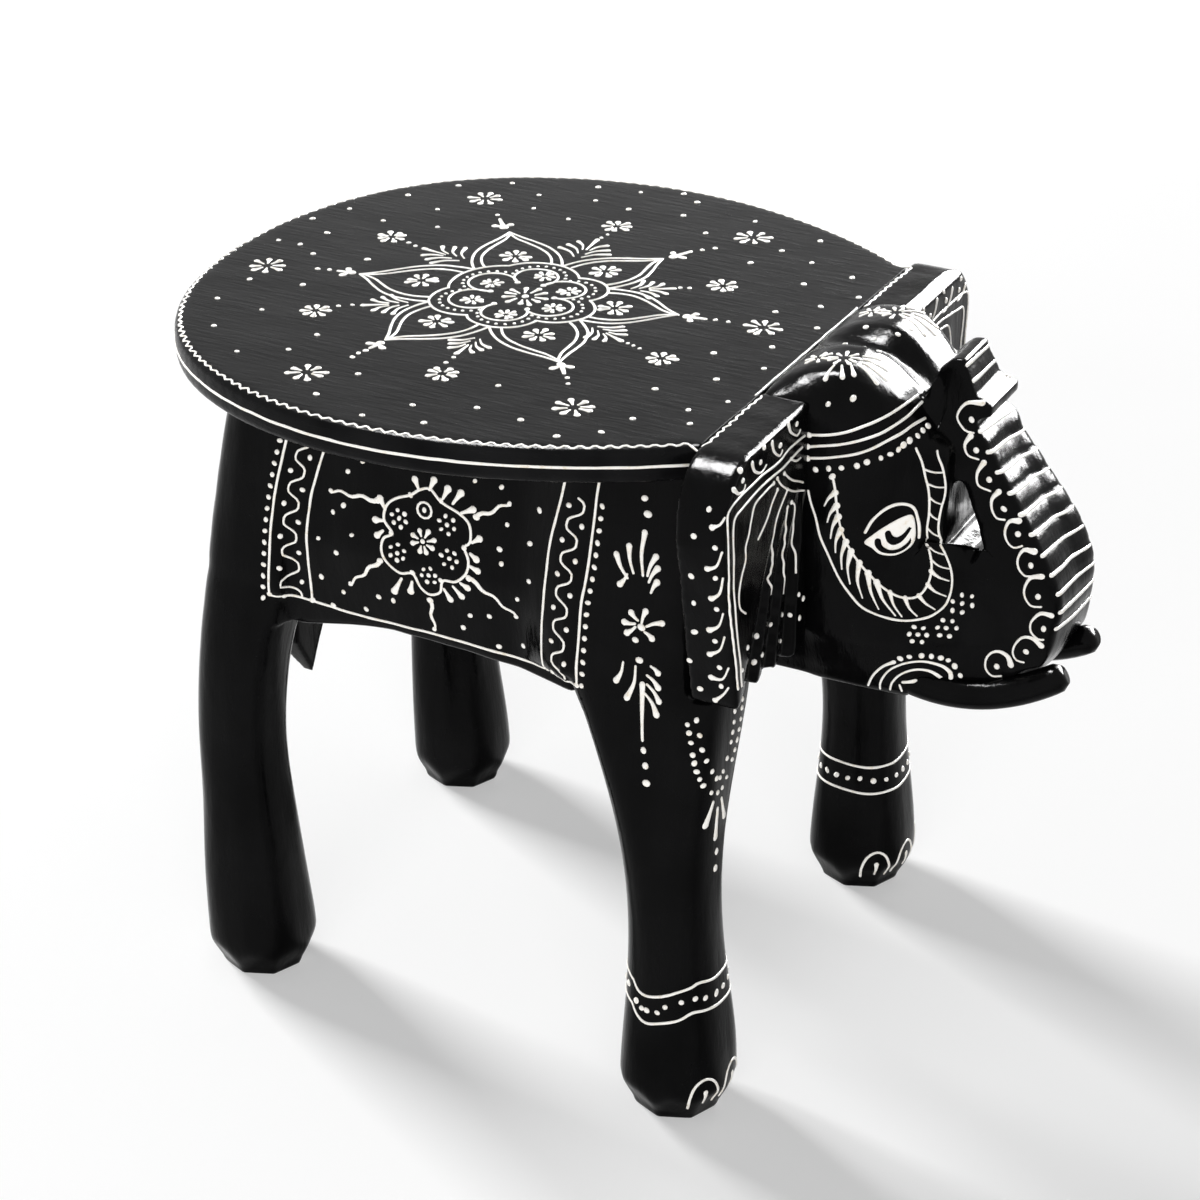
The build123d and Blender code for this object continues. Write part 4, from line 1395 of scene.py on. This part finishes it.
# ---- shoulders and front legs ----
FAN = [
    ((104.7, 239.3), (104.2, 256.6)), ((100.6, 239.3), (97.9, 249.6)), ((98, 236.8), (92.9, 245.2)),
    ((97.8, 238.2), (95.1, 233.6)), ((106.6, 239.8), (109.5, 248)), ((107.4, 237.2), (110.7, 243.2)),
    ((108.5, 233.2), (110.7, 237.8)),
]
SHOULDER_PETALS = [
    ((105.4, 219.8), (106.7, 225)), ((103.7, 220.9), (100.8, 223.2)), ((102.4, 219.1), (98, 218.7)),
    ((102.8, 217.7), (99.6, 214.8)), ((107, 216.7), (110.2, 214.8)), ((107.6, 219.2), (114, 221.8)),
]
HANGING = [
    ((98.8, 202.4), (96.4, 194.2)), ((104.2, 201.9), (101.7, 188.8)), ((110.6, 203.4), (113.8, 201.3)),
    ((109.3, 199.4), (114.4, 195.4)), ((109.6, 195.7), (115.4, 190.2)), ((109.1, 191.9), (114.8, 184.8)),
]
ANKLET_TOP = [
    (-30, 64), (-21, 61), (-9, 60), (9, 61.5), (30, 65), (45, 67), (54, 68.3), (75, 67), (105, 66.4),
    (150, 66), (200, 66.5), (250, 65.5), (300, 66), (330, 64),
]
ANKLET_LOW = [
    (-30, 53), (-18, 49), (-6, 47.6), (9, 49), (30, 52), (45, 55.3), (60, 55), (81, 54), (105, 53.5),
    (150, 53), (200, 53.5), (250, 53), (300, 54), (330, 53),
]
ANKLET_DOTS = [
    (-22, 55.5), (-13, 53.5), (-6, 53.5), (7.5, 54), (16.5, 57.5), (34, 60.5), (49, 61.5), (61, 60.5),
    (78, 59.7), (94, 59.5),
]
NECKLACE_OUTER = [
    (43.5, 184), (46.5, 177), (48, 172), (52, 165), (60, 158.5), (72, 154), (86, 151.8), (98, 152),
    (108, 155), (118, 161), (126, 168), (131, 176), (134, 184),
]
NECKLACE_INNER = [
    (57, 186), (58.5, 180), (60, 174), (65, 169), (73, 163.5), (82, 159), (90, 158), (98, 159.5),
    (106, 164), (113, 170), (118, 178), (121, 186),
]
FRONT_POST = (119.5, 97.6)  # the middle of a front leg
SHOULDER_DOTS = [(103.3, 270.2), (105.1, 264.2), (105.6, 204.8), (103.3, 212.6), (105.5, 218.3)]
TOENAILS = [57, 97, 137]
TOENAIL_ARCH = [(-5.0, 8), (-5.0, 14.5), (-3.2, 20.5), (0, 23), (3.2, 20.5), (5.0, 14.5), (5.0, 8)]


def even_turns(post):
    """The same place with the turn in steps of 3 degrees, about as long as a millimetre of height."""
    return lambda turn, z: post(turn * 3, z)


def thirds(points):
    """The same points with their turns in steps of 3 degrees."""
    return [(turn / 3, z) for turn, z in points]


def paint_shoulder(paint, flank):
    """The spray on a front leg's shoulder, with drops that fan out and a stem that hangs down."""
    dots(paint, flank, SHOULDER_DOTS, 1.5)
    drops(paint, flank, FAN + SHOULDER_PETALS, thin=1.1, fat=2.9, bend=0.06)
    paint.line(flank, [(107.7, 195.2), (109, 183.5), (110.3, 173.2)], ends=(2.6, 1.1), height=0.6)
    drops(paint, flank, HANGING, thin=1.0, fat=2.7, bend=0.08)
    dots(paint, flank, [(111, 169.4), (112.3, 163.2), (113.2, 156)], 1.5)


def paint_anklet(paint, post):
    """Two lines with dots between them, placed one by one in front and at even steps behind."""
    for line in (ANKLET_TOP, ANKLET_LOW):
        paint.line(even_turns(post), thirds(line), width=1.25)
    dots(paint, post, ANKLET_DOTS, 1.35)
    dots(paint, post, [(turn, 59.5 + HAND.uniform(-0.8, 0.8)) for turn in range(110, 326, 16)], 1.3)


def paint_necklaces(paint, post):
    """Two dotted strands and the pendant under them."""
    for strand in (NECKLACE_OUTER, NECKLACE_INNER):
        dotted(paint, even_turns(post), thirds(strand), 4.6, 1.15)
    paint.drop(post, (76, 149), (64, 140), thin=1.6, fat=3.4)
    paint.drop(post, (98, 147), (109, 137), thin=1.4, fat=3.0)
    paint.drop(post, (88, 144), (86, 131), thin=1.8, fat=3.2)
    dots(paint, post, [(91, 123.5), (89, 116)], 1.5)


def paint_legs(body):
    paint = Paint("leg_ornament")
    skin = Skin(body)
    for side in (RIGHT, LEFT):
        post = skin.round_post(*FRONT_POST, side)
        paint_shoulder(paint, skin.from_side(side))
        paint_anklet(paint, post)
        paint_necklaces(paint, post)
        for turn in TOENAILS:
            middle = turn / 3
            paint.line(even_turns(post), [(middle + out, z) for out, z in TOENAIL_ARCH], width=1.25)
            paint.drop(even_turns(post), (middle, 10), (middle, 16.5), thin=0.9, fat=2.3)
    paint.piece()


# ---- ears ----
EAR_LINE_OUTER = [
    (51.9, 288.3), (66, 288.9), (75, 287.4), (88.7, 288), (101.9, 288), (113, 287.6), (119, 286.1),
    (120.6, 282.7), (120.1, 274.4), (118.9, 263.6), (117.5, 250.7), (114.5, 235.5), (112, 225.1),
    (109.4, 213.3), (107.6, 205.5),
]
EAR_LINE_INNER = [
    (54.1, 284.5), (61.2, 284.3), (72.6, 283.3), (86.3, 283.9), (97.2, 283.4), (108, 281.9), (114.2, 281),
    (115.6, 276.6), (114.3, 265.7), (114.2, 255.5), (112.3, 241.4), (109.8, 229.6), (107.4, 219.3),
    (104.6, 205.4),
]
EAR_HOOKS = [
    ((67.9, 299.3), (65.4, 295.5), (58.9, 291.4), (56.2, 292.6)),
    ((82.6, 298), (80.4, 293.4), (75.1, 289.6), (72.9, 291)),
    ((100, 296.8), (97.7, 292.6), (92.1, 289.7), (87.8, 291)),
    ((115.8, 292.8), (112, 289.6), (107.5, 289), (106, 290.6)),
]
EAR_TOP_DOTS = [(59.9, 296.5), (74.9, 293.8), (92.8, 294.3), (90, 299.3), (108.4, 293.4), (109.9, 298)]
PLEAT_LINES = [
    [(80.5, 280.5), (88.4, 280.2), (97, 278.7), (100, 273.8), (101.8, 268.4), (104.3, 264.3), (104, 259),
     (107.4, 253.3), (109.4, 246.8), (108, 240.4), (102.3, 235.5)],
    [(76.7, 276.2), (80.8, 272.7), (83.8, 268.8), (88.1, 265.4), (92.9, 262.4)],
    [(67.3, 272.3), (71, 268.5), (74.9, 264.4), (76.8, 260.5), (75.9, 254.4), (74.9, 247.6), (76.1, 241.7),
     (77.8, 237.1), (74, 230)],
    [(65.3, 263.8), (63.6, 253.3), (64.7, 244), (64.8, 234.5), (60.5, 224)],
    [(61.5, 264.3), (58.3, 261), (55, 251.1), (54.6, 242.5), (54, 230.7)],
    [(70.7, 280.5), (62.9, 274.4), (51.9, 268.8)],
    [(77.1, 281.1), (72.3, 275.9), (61.8, 269.3), (50.5, 264.8)],
    [(64.6, 284), (60, 281.2), (55.5, 280.6)],
]
EAR_LOW_DOTS = [
    (52.4, 220.4), (48, 216.6), (60.5, 214.5), (56.1, 212.6), (51.5, 209.7), (70.7, 214.9), (84.7, 216.7),
    (100.2, 220), (61, 203), (83.6, 208.5), (87.3, 206.6), (104.6, 212.3),
]
SIDE_DOTS = [
    (137.2, 274.2), (135.1, 256), (135.1, 243.5), (134.3, 229.8), (131, 215.2), (134.5, 202.6),
    (136.5, 192.5),
]
SIDE_HOOKS = [
    ((144.6, 279.5), (147.6, 281.2), (148.9, 283.8), (142.6, 285.8)),
    ((142.2, 261.3), (146.2, 263.5), (148.6, 270), (145.9, 271.4)),
    ((142.6, 247.5), (146.2, 250.9), (148.3, 258.3), (145.2, 257.7)),
    ((140.7, 232.4), (144.6, 235.3), (147, 241.7), (144.4, 243)),
    ((140.1, 220.7), (144.4, 224), (146.8, 230.6), (142.6, 227.6)),
    ((139.7, 209.5), (144.3, 210), (147.4, 216.1), (143.6, 215.4)),
    ((140.6, 198.6), (144.2, 202.4), (146.6, 206.4), (143.6, 206.4)),
]
LEFT_LIFT = -2.6  # the left ear is bevelled further down, and its top ornament lies lower


def paint_ears(ears):
    paint = Paint("ear_ornament")
    skin = Skin(ears)
    for side in (RIGHT, LEFT):
        front = skin.from_front(side)
        lift = 0 if side == RIGHT else LEFT_LIFT
        for line in (EAR_LINE_OUTER, EAR_LINE_INNER):
            paint.line(front, line, width=1.05)
        for hook in EAR_HOOKS:
            paint.line(front, [(a, b + lift) for a, b in hook], ends=(2.3, 0.85), height=0.5, taper=3)
        dots(paint, front, [(a, b + lift) for a, b in EAR_TOP_DOTS], 1.2)
        for line in PLEAT_LINES:
            paint.line(front, line, width=0.9)
            paint.dot(front, *line[0], 0.95)
        dots(paint, front, EAR_LOW_DOTS, 1.1)
        flank = skin.from_side(side)
        dots(paint, flank, SIDE_DOTS, 1.25)
        curls(paint, flank, SIDE_HOOKS, 2.7, 1.15)
    paint.piece()


# ---- head ----
BROWS = [
    [(150.5, 288.1), (158.4, 289.8), (166.7, 292.8), (173.8, 297), (178.4, 300.1), (184.1, 304.5),
     (189.8, 309.7), (194, 314)],
    [(150.1, 283.1), (162.2, 286.3), (170.5, 289.7), (178.7, 294.1), (184.4, 298.7), (190.1, 304),
     (193.4, 308.1), (196, 311.5)],
    [(150.3, 278.2), (158.8, 280.3), (167.2, 283.1), (174.3, 286.5), (181.2, 291.3), (188.1, 296.7),
     (192.6, 301), (197.5, 305)],
]
BROW_DOTS = [
    (153.8, 274.2), (159.2, 275.8), (164.4, 277.2), (170.7, 279.4), (174.7, 281.8), (180.3, 284.7),
    (184.1, 287.1), (187.3, 289.7), (189.2, 292), (191.6, 294.4), (194.8, 297), (196.8, 299.7),
    (198.8, 302),
]
HATCH_OUTER = [
    (150.2, 263.4), (151.4, 258.7), (153.2, 253.3), (155.5, 246.4), (158.4, 238.2), (161.3, 231.4),
    (165.9, 222.6), (171.1, 216.2), (176.3, 213.3), (181.9, 211.5), (187.5, 211.1), (192.8, 211.8),
    (196.8, 212.9), (199.7, 214.8), (202.2, 217.7), (203.2, 222.5), (203, 228.6), (201.9, 233.5),
    (200, 237.7), (197.9, 242.1), (196.4, 246.9), (196.2, 252), (196.8, 257.1), (197.5, 261.7),
    (197.3, 268.1), (196.3, 274.5), (194.1, 281),
]
HATCH_INNER = [
    (159.8, 271.5), (160.8, 266.9), (161.6, 260.7), (162.6, 253.7), (164.4, 246.8), (167.2, 240.5),
    (170.7, 235), (174.4, 230), (177.7, 226.2), (182.2, 222.7), (186.1, 220.9), (190.4, 220.7),
    (193.2, 222.3), (195.2, 226.1), (196, 231.1), (195.6, 236), (194.4, 240.8), (193, 244.7),
    (192.6, 249.7), (193, 254.8), (193, 259.8), (192.2, 266.1), (191, 271.1), (189.4, 278.2), (187.6, 283),
]
EYE_ARC = [(172.5, 248.5), (175, 254), (179.5, 258.7), (184, 260), (188, 258), (189.8, 252), (190.2, 245)]
EYE_WHITE = [
    (172.3, 244.2), (175.5, 247.8), (179.5, 251.2), (184, 254.2), (187.6, 255.2), (188.8, 251),
    (188.9, 244), (186.5, 240.3), (182.5, 238.3), (178, 239.2), (175, 242),
]
EYE_BAND = [
    (176, 245.4), (177.4, 246), (178.3, 242.9), (181, 240.8), (184.2, 241.2), (187, 243.7), (187.9, 245.8),
    (187.8, 243.4), (185.7, 240.6), (182.4, 239.2), (178.6, 240), (176.3, 242.6),
]
EYE_PUPIL = [
    (179.2, 248.4), (180.6, 249.2), (181.6, 247), (183.2, 246.2), (185.2, 247.6), (187, 250.4),
    (187.8, 249.8), (186.4, 246.6), (184.4, 243.8), (182, 242.9), (180, 244.6),
]
TUSK_ARCS = [
    [(174, 177.7), (175.9, 182.7), (178.2, 186.3), (181, 189.3), (185.1, 191.9)],
    [(179, 177.2), (179.8, 181.6), (183, 187.3), (187, 190.8), (191.4, 192.8), (195.6, 193.4),
     (199.8, 192.6), (203.4, 191.2), (205.9, 188.6), (206.2, 186.2)],
    [(183.4, 178.2), (184.4, 182), (187.1, 185.8), (190.3, 188.3), (193.9, 189.5), (198.1, 189),
     (201.1, 187.1), (203, 185)],
]
TUSK_DOTS = [
    (187.6, 194.1), (191.1, 195.4), (195.5, 196.1), (199, 195.9), (202.4, 195.3), (205.1, 194.3),
    (207.5, 191.7), (209.6, 187.4),
]
CHEEK_CLUSTERS = [(193.9, 205.7), (203.6, 208.6), (207.4, 217.6)]
SCROLLS = [
    ((206.5, 298.8), (200.3, 297.7), (197.2, 291.6), (200.8, 286.9), (204.5, 286.4), (203.1, 291.5)),
    ((203.4, 285), (201.4, 281), (203.1, 277.1), (207.4, 276.4), (206.2, 279.8)),
    ((209.7, 275.4), (207.5, 270.7), (208.6, 266.2), (213.6, 264.8), (212.6, 269.2)),
    ((216.9, 265.1), (214.5, 261.8), (214.9, 257.8), (217.3, 254.6), (220.6, 254.5), (219.7, 258.8)),
    ((226, 255), (222.6, 254.3), (221.1, 250.1), (222.4, 246.4), (225.4, 244.3), (228.6, 245.7),
     (226.4, 250)),
    ((233.4, 244), (229.5, 244.1), (227.3, 239.7), (228, 235.5), (230.7, 233.2), (233.5, 233.9),
     (232.7, 238.2)),
    ((237.5, 234.4), (233.2, 233), (231.1, 228.6), (231.4, 224.3), (234.1, 221), (238.1, 221.6),
     (236.7, 225.7)),
    ((242.4, 218.5), (237.9, 218.4), (234.6, 214), (234.9, 209.7), (237.9, 207.3), (240.1, 207.5),
     (239.8, 212.2)),
    ((239.2, 204.6), (235.3, 207), (231.3, 206.3), (228.5, 202), (228.2, 198.2), (229.9, 195.8),
     (232.7, 195.6), (233.4, 200.5)),
    ((227.7, 193.3), (226.2, 196.7), (223.1, 198.9), (220.2, 198.1), (218.6, 195.1), (218.8, 190.9),
     (221.1, 187.9), (224.3, 187.8), (222.6, 192.2)),
]
DOME_DROPS = [
    ((33.5, 153), (40, 152.3)), ((33, 156), (38, 158.5)), ((30.8, 158.7), (35, 162)),
    ((28.8, 161), (30.8, 169.5)), ((26, 161.7), (25.2, 171)), ((23, 161), (19.8, 169)),
    ((20.3, 159.5), (16.6, 164.5)),
]
# The daisies of a dome: place, radius, petals, their width and the open heart's share.
DOME_DAISIES = [(26.5, 143.4, 5.9, 7, 1.7, 0.3), (26, 154, 6.8, 9, 1.8, 0.4)]
DOME_DOTS = [(10.3, 147.7), (4.8, 153.7), (9.6, 161.6)]
TIP_STRIPES = [311.5, 305.5, 299.5]
# Teardrops: the share along the inner and the outer line, how far across they reach, and their width.
HATCHES = [(0.06 + 0.042 * i, 0.08 + 0.046 * i, 0.52 + 0.045 * i, 2.8) for i in range(9)]
HATCHES += [(0.445 + 0.04 * i, 0.46 + 0.042 * i, 0.85, 2.1) for i in range(5)]
HATCHES += [(0.645 + 0.048 * i, 0.665 + 0.046 * i, 1.0, 0.95) for i in range(7)]


def hatching(paint, place):
    """The band of teardrops round the cheek, which thin to rungs up the front of the face."""
    paint.line(place, HATCH_OUTER, width=1.0)
    paint.line(place, HATCH_INNER, width=1.0)
    paint.dot(place, *HATCH_INNER[0], 1.4)
    inner, outer = curve(HATCH_INNER, 0.8), curve(HATCH_OUTER, 0.8)
    for share, over, span, fat in HATCHES:
        head = inner[int(share * (len(inner) - 1))]
        across = outer[int(over * (len(outer) - 1))]
        paint.drop(place, head + (across - head) * span, head, thin=0.65, fat=fat, bend=0.08)


def paint_eye(paint, pupil, place):
    """The line over the eye, its white, and the dark band and pupil on the white."""
    paint.line(place, EYE_ARC, width=1.3)
    paint.patch(place, EYE_WHITE, 0.35)
    pupil.patch(place, EYE_BAND, 0.5)
    pupil.patch(place, EYE_PUPIL, 0.5)


def paint_tusk_root(paint, place):
    """The arcs over a tusk and what fills them."""
    for arch in TUSK_ARCS:
        paint.line(place, arch, ends=(0.9, 2.0), taper=5)
    dots(paint, place, TUSK_DOTS, 1.2)
    paint.drop(place, (188.8, 183.2), (193.2, 184), thin=1.2, fat=2.3)
    paint.line(place, [(187.6, 181.6), (188.4, 178.8)], width=0.9)


def paint_dome(paint, above, side):
    """The daisies, drops and dots on top of a dome."""
    for a, b, *shape in DOME_DAISIES:
        daisy(paint, above, -side * a, b, *shape)
    pairs = [[(-side * a, b) for a, b in pair] for pair in DOME_DROPS]
    drops(paint, above, pairs, thin=0.9, fat=2.3)
    dots(paint, above, [(-side * a, b) for a, b in DOME_DOTS], 1.2)


def paint_stripes(paint, front):
    """The stripes over the trunk's front, and the three that cross its upper end."""
    for height in STRIPES:
        half = float(np.interp(height, [245, 315], [18.4, 12.0]))
        line = [(y, height + STRIPE_RISE * -y / STRIPE_RUN) for y in np.linspace(-half, half, 12)]
        paint.line(front, line, ends=(1.9, 1.3), height=0.5)
    for height in TIP_STRIPES:
        line = [(y, height - 0.03 * y) for y in np.linspace(-11.5, 12.3, 9)]
        paint.line(front, line, ends=(1.9, 1.4), height=0.4)


def paint_head(head):
    paint = Paint("head_ornament")
    pupil = Paint("eye_pupils")
    skin = Skin(head)
    for side in (RIGHT, LEFT):
        place, quarter = skin.from_side(side), skin.from_quarter(side)
        for line in BROWS:
            paint.line(quarter, line, width=1.15, height=0.5)
            paint.dot(quarter, *line[0], 1.3)
        dots(paint, quarter, BROW_DOTS, 1.25)
        hatching(paint, place)
        paint_eye(paint, pupil, place)
        paint_tusk_root(paint, place)
        for a, b in CHEEK_CLUSTERS:
            cluster(paint, place, a, b, 3.3, 1.0)
        curls(paint, place, SCROLLS, 2.6, 1.25)
        dots(paint, quarter, [(167.9, 307), (157.9, 302.5)], 1.25)
        paint_dome(paint, skin.from_above, side)
    paint_stripes(paint, skin.from_front(LEFT))
    paint.piece()
    pupil.piece(BLACK, "black_lacquer")


body = build_body()
head = build_head()
ears = build_ears()
seat = build_seat()
build_tusk(RIGHT)
build_tusk(LEFT)
build_tail()
for name, node in frame["nodes"].items():
    if name.endswith("dowels"):
        node.data.materials.clear()
        node.data.materials.append(DOWEL)
paint_seat(seat)
paint_rim(seat, ears)
paint_belly(body)
paint_legs(body)
paint_ears(ears)
paint_head(head)


# ======== floor, light and camera ========
FLOOR_HALF = 4
SKY_STRENGTH = 0.26
FLOOR_GLOW = 0.34  # share of glowing white that the camera sees in the floor


def seen_directly(tree, kinds):
    """1 for rays of the given kinds and 0 for all others."""
    path = tree.nodes.new("ShaderNodeLightPath")
    total = path.outputs[kinds[0]]
    for kind in kinds[1:]:
        both = tree.nodes.new("ShaderNodeMath")
        both.operation = "ADD"
        both.use_clamp = True
        tree.links.new(total, both.inputs[0])
        tree.links.new(path.outputs[kind], both.inputs[1])
        total = both.outputs[0]
    return total


def build_floor():
    """White paper that keeps the shadow; the camera sees it partly glowing."""
    mesh = bpy.data.meshes.new("floor")
    corners = [(-1, -1), (1, -1), (1, 1), (-1, 1)]
    mesh.from_pydata([(x * FLOOR_HALF, y * FLOOR_HALF, 0) for x, y in corners], [], [(0, 1, 2, 3)])
    floor = linked("floor", mesh)
    nodes = Nodes("floor_paper")
    tree = nodes.tree
    nodes.drive("Base Color", nodes.noise(3.0, 2.0), [(0.3, 0.93), (0.7, 0.95)])
    nodes.shader.inputs["Roughness"].default_value = 0.9
    nodes.shader.inputs["Specular IOR Level"].default_value = 0.0
    glow = nodes.add("ShaderNodeEmission")
    glow.inputs["Strength"].default_value = 1.0
    part = nodes.add("ShaderNodeMath", operation="MULTIPLY")
    nodes.link(seen_directly(tree, ["Is Camera Ray"]), part.inputs[0])
    part.inputs[1].default_value = FLOOR_GLOW
    mix = nodes.add("ShaderNodeMixShader")
    nodes.link(part.outputs[0], mix.inputs["Fac"])
    nodes.link(nodes.shader.outputs[0], mix.inputs[1])
    nodes.link(glow.outputs[0], mix.inputs[2])
    nodes.link(mix.outputs[0], tree.nodes["Material Output"].inputs["Surface"])
    mesh.materials.append(nodes.material)


def build_world():
    """White behind the object, and a plain grey sky that lights it."""
    world = bpy.data.worlds.new("studio")
    bpy.context.scene.world = world
    world.use_nodes = True
    tree = world.node_tree
    sky = tree.nodes["Background"]
    sky.inputs["Color"].default_value = (1, 1, 1, 1)
    sky.inputs["Strength"].default_value = SKY_STRENGTH
    white = tree.nodes.new("ShaderNodeBackground")
    white.inputs["Color"].default_value = (1, 1, 1, 1)
    mix = tree.nodes.new("ShaderNodeMixShader")
    seen = seen_directly(tree, ["Is Camera Ray", "Is Glossy Ray", "Is Transmission Ray"])
    tree.links.new(seen, mix.inputs["Fac"])
    tree.links.new(sky.outputs[0], mix.inputs[1])
    tree.links.new(white.outputs[0], mix.inputs[2])
    tree.links.new(mix.outputs[0], tree.nodes["World Output"].inputs["Surface"])


LIT_PLACE = (0, 0, 200)


def softbox(name, way, distance, size, watts, gloss=True, matt=True):
    """A rectangular soft light in a direction from the object; it may show in gloss or matt alone."""
    light = bpy.data.lights.new(name, "AREA")
    light.shape = "RECTANGLE"
    light.size, light.size_y = size
    light.energy = watts
    lamp = bpy.data.objects.new(name, light)
    lamp.location = at(*LIT_PLACE) + Vector(way).normalized() * distance
    lamp.rotation_euler = (lamp.location - at(*LIT_PLACE)).to_track_quat("Z", "Y").to_euler()
    lamp.visible_diffuse = matt
    lamp.visible_glossy = gloss
    lamp.visible_camera = False
    bpy.context.scene.collection.objects.link(lamp)


CAMERA_TURN, CAMERA_RISE = 27.34, 27.74
CAMERA_PLACE = (0.50170, -1.011417, 0.764608)
CAMERA_LENS, CAMERA_SENSOR = 90, 36


def build_camera():
    camera = bpy.data.cameras.new("camera")
    camera.lens = CAMERA_LENS
    camera.sensor_width = CAMERA_SENSOR
    holder = bpy.data.objects.new("camera", camera)
    turn, rise = math.radians(CAMERA_TURN), math.radians(CAMERA_RISE)
    back = Vector((math.sin(turn) * math.cos(rise), -math.cos(turn) * math.cos(rise), math.sin(rise)))
    holder.location = CAMERA_PLACE
    holder.rotation_euler = back.to_track_quat("Z", "Y").to_euler()
    bpy.context.scene.collection.objects.link(holder)
    bpy.context.scene.camera = holder


build_floor()
build_world()
softbox("window", way=(0.325, 0.845, 0.423), distance=1.6, size=(1.22, 0.85), watts=285, matt=False)
softbox("overhead", way=(-0.23, 0.0, 0.96), distance=1.6, size=(0.6, 0.5), watts=190, matt=False)
softbox("key", way=(-0.90, 0.28, 0.326), distance=9.0, size=(3.0, 2.4), watts=1600, gloss=False)
softbox("front_fill", way=(0.35, -0.9, 0.18), distance=9.0, size=(8.0, 5.8), watts=620, gloss=False)
build_camera()
bpy.context.scene.view_settings.view_transform = "Standard"
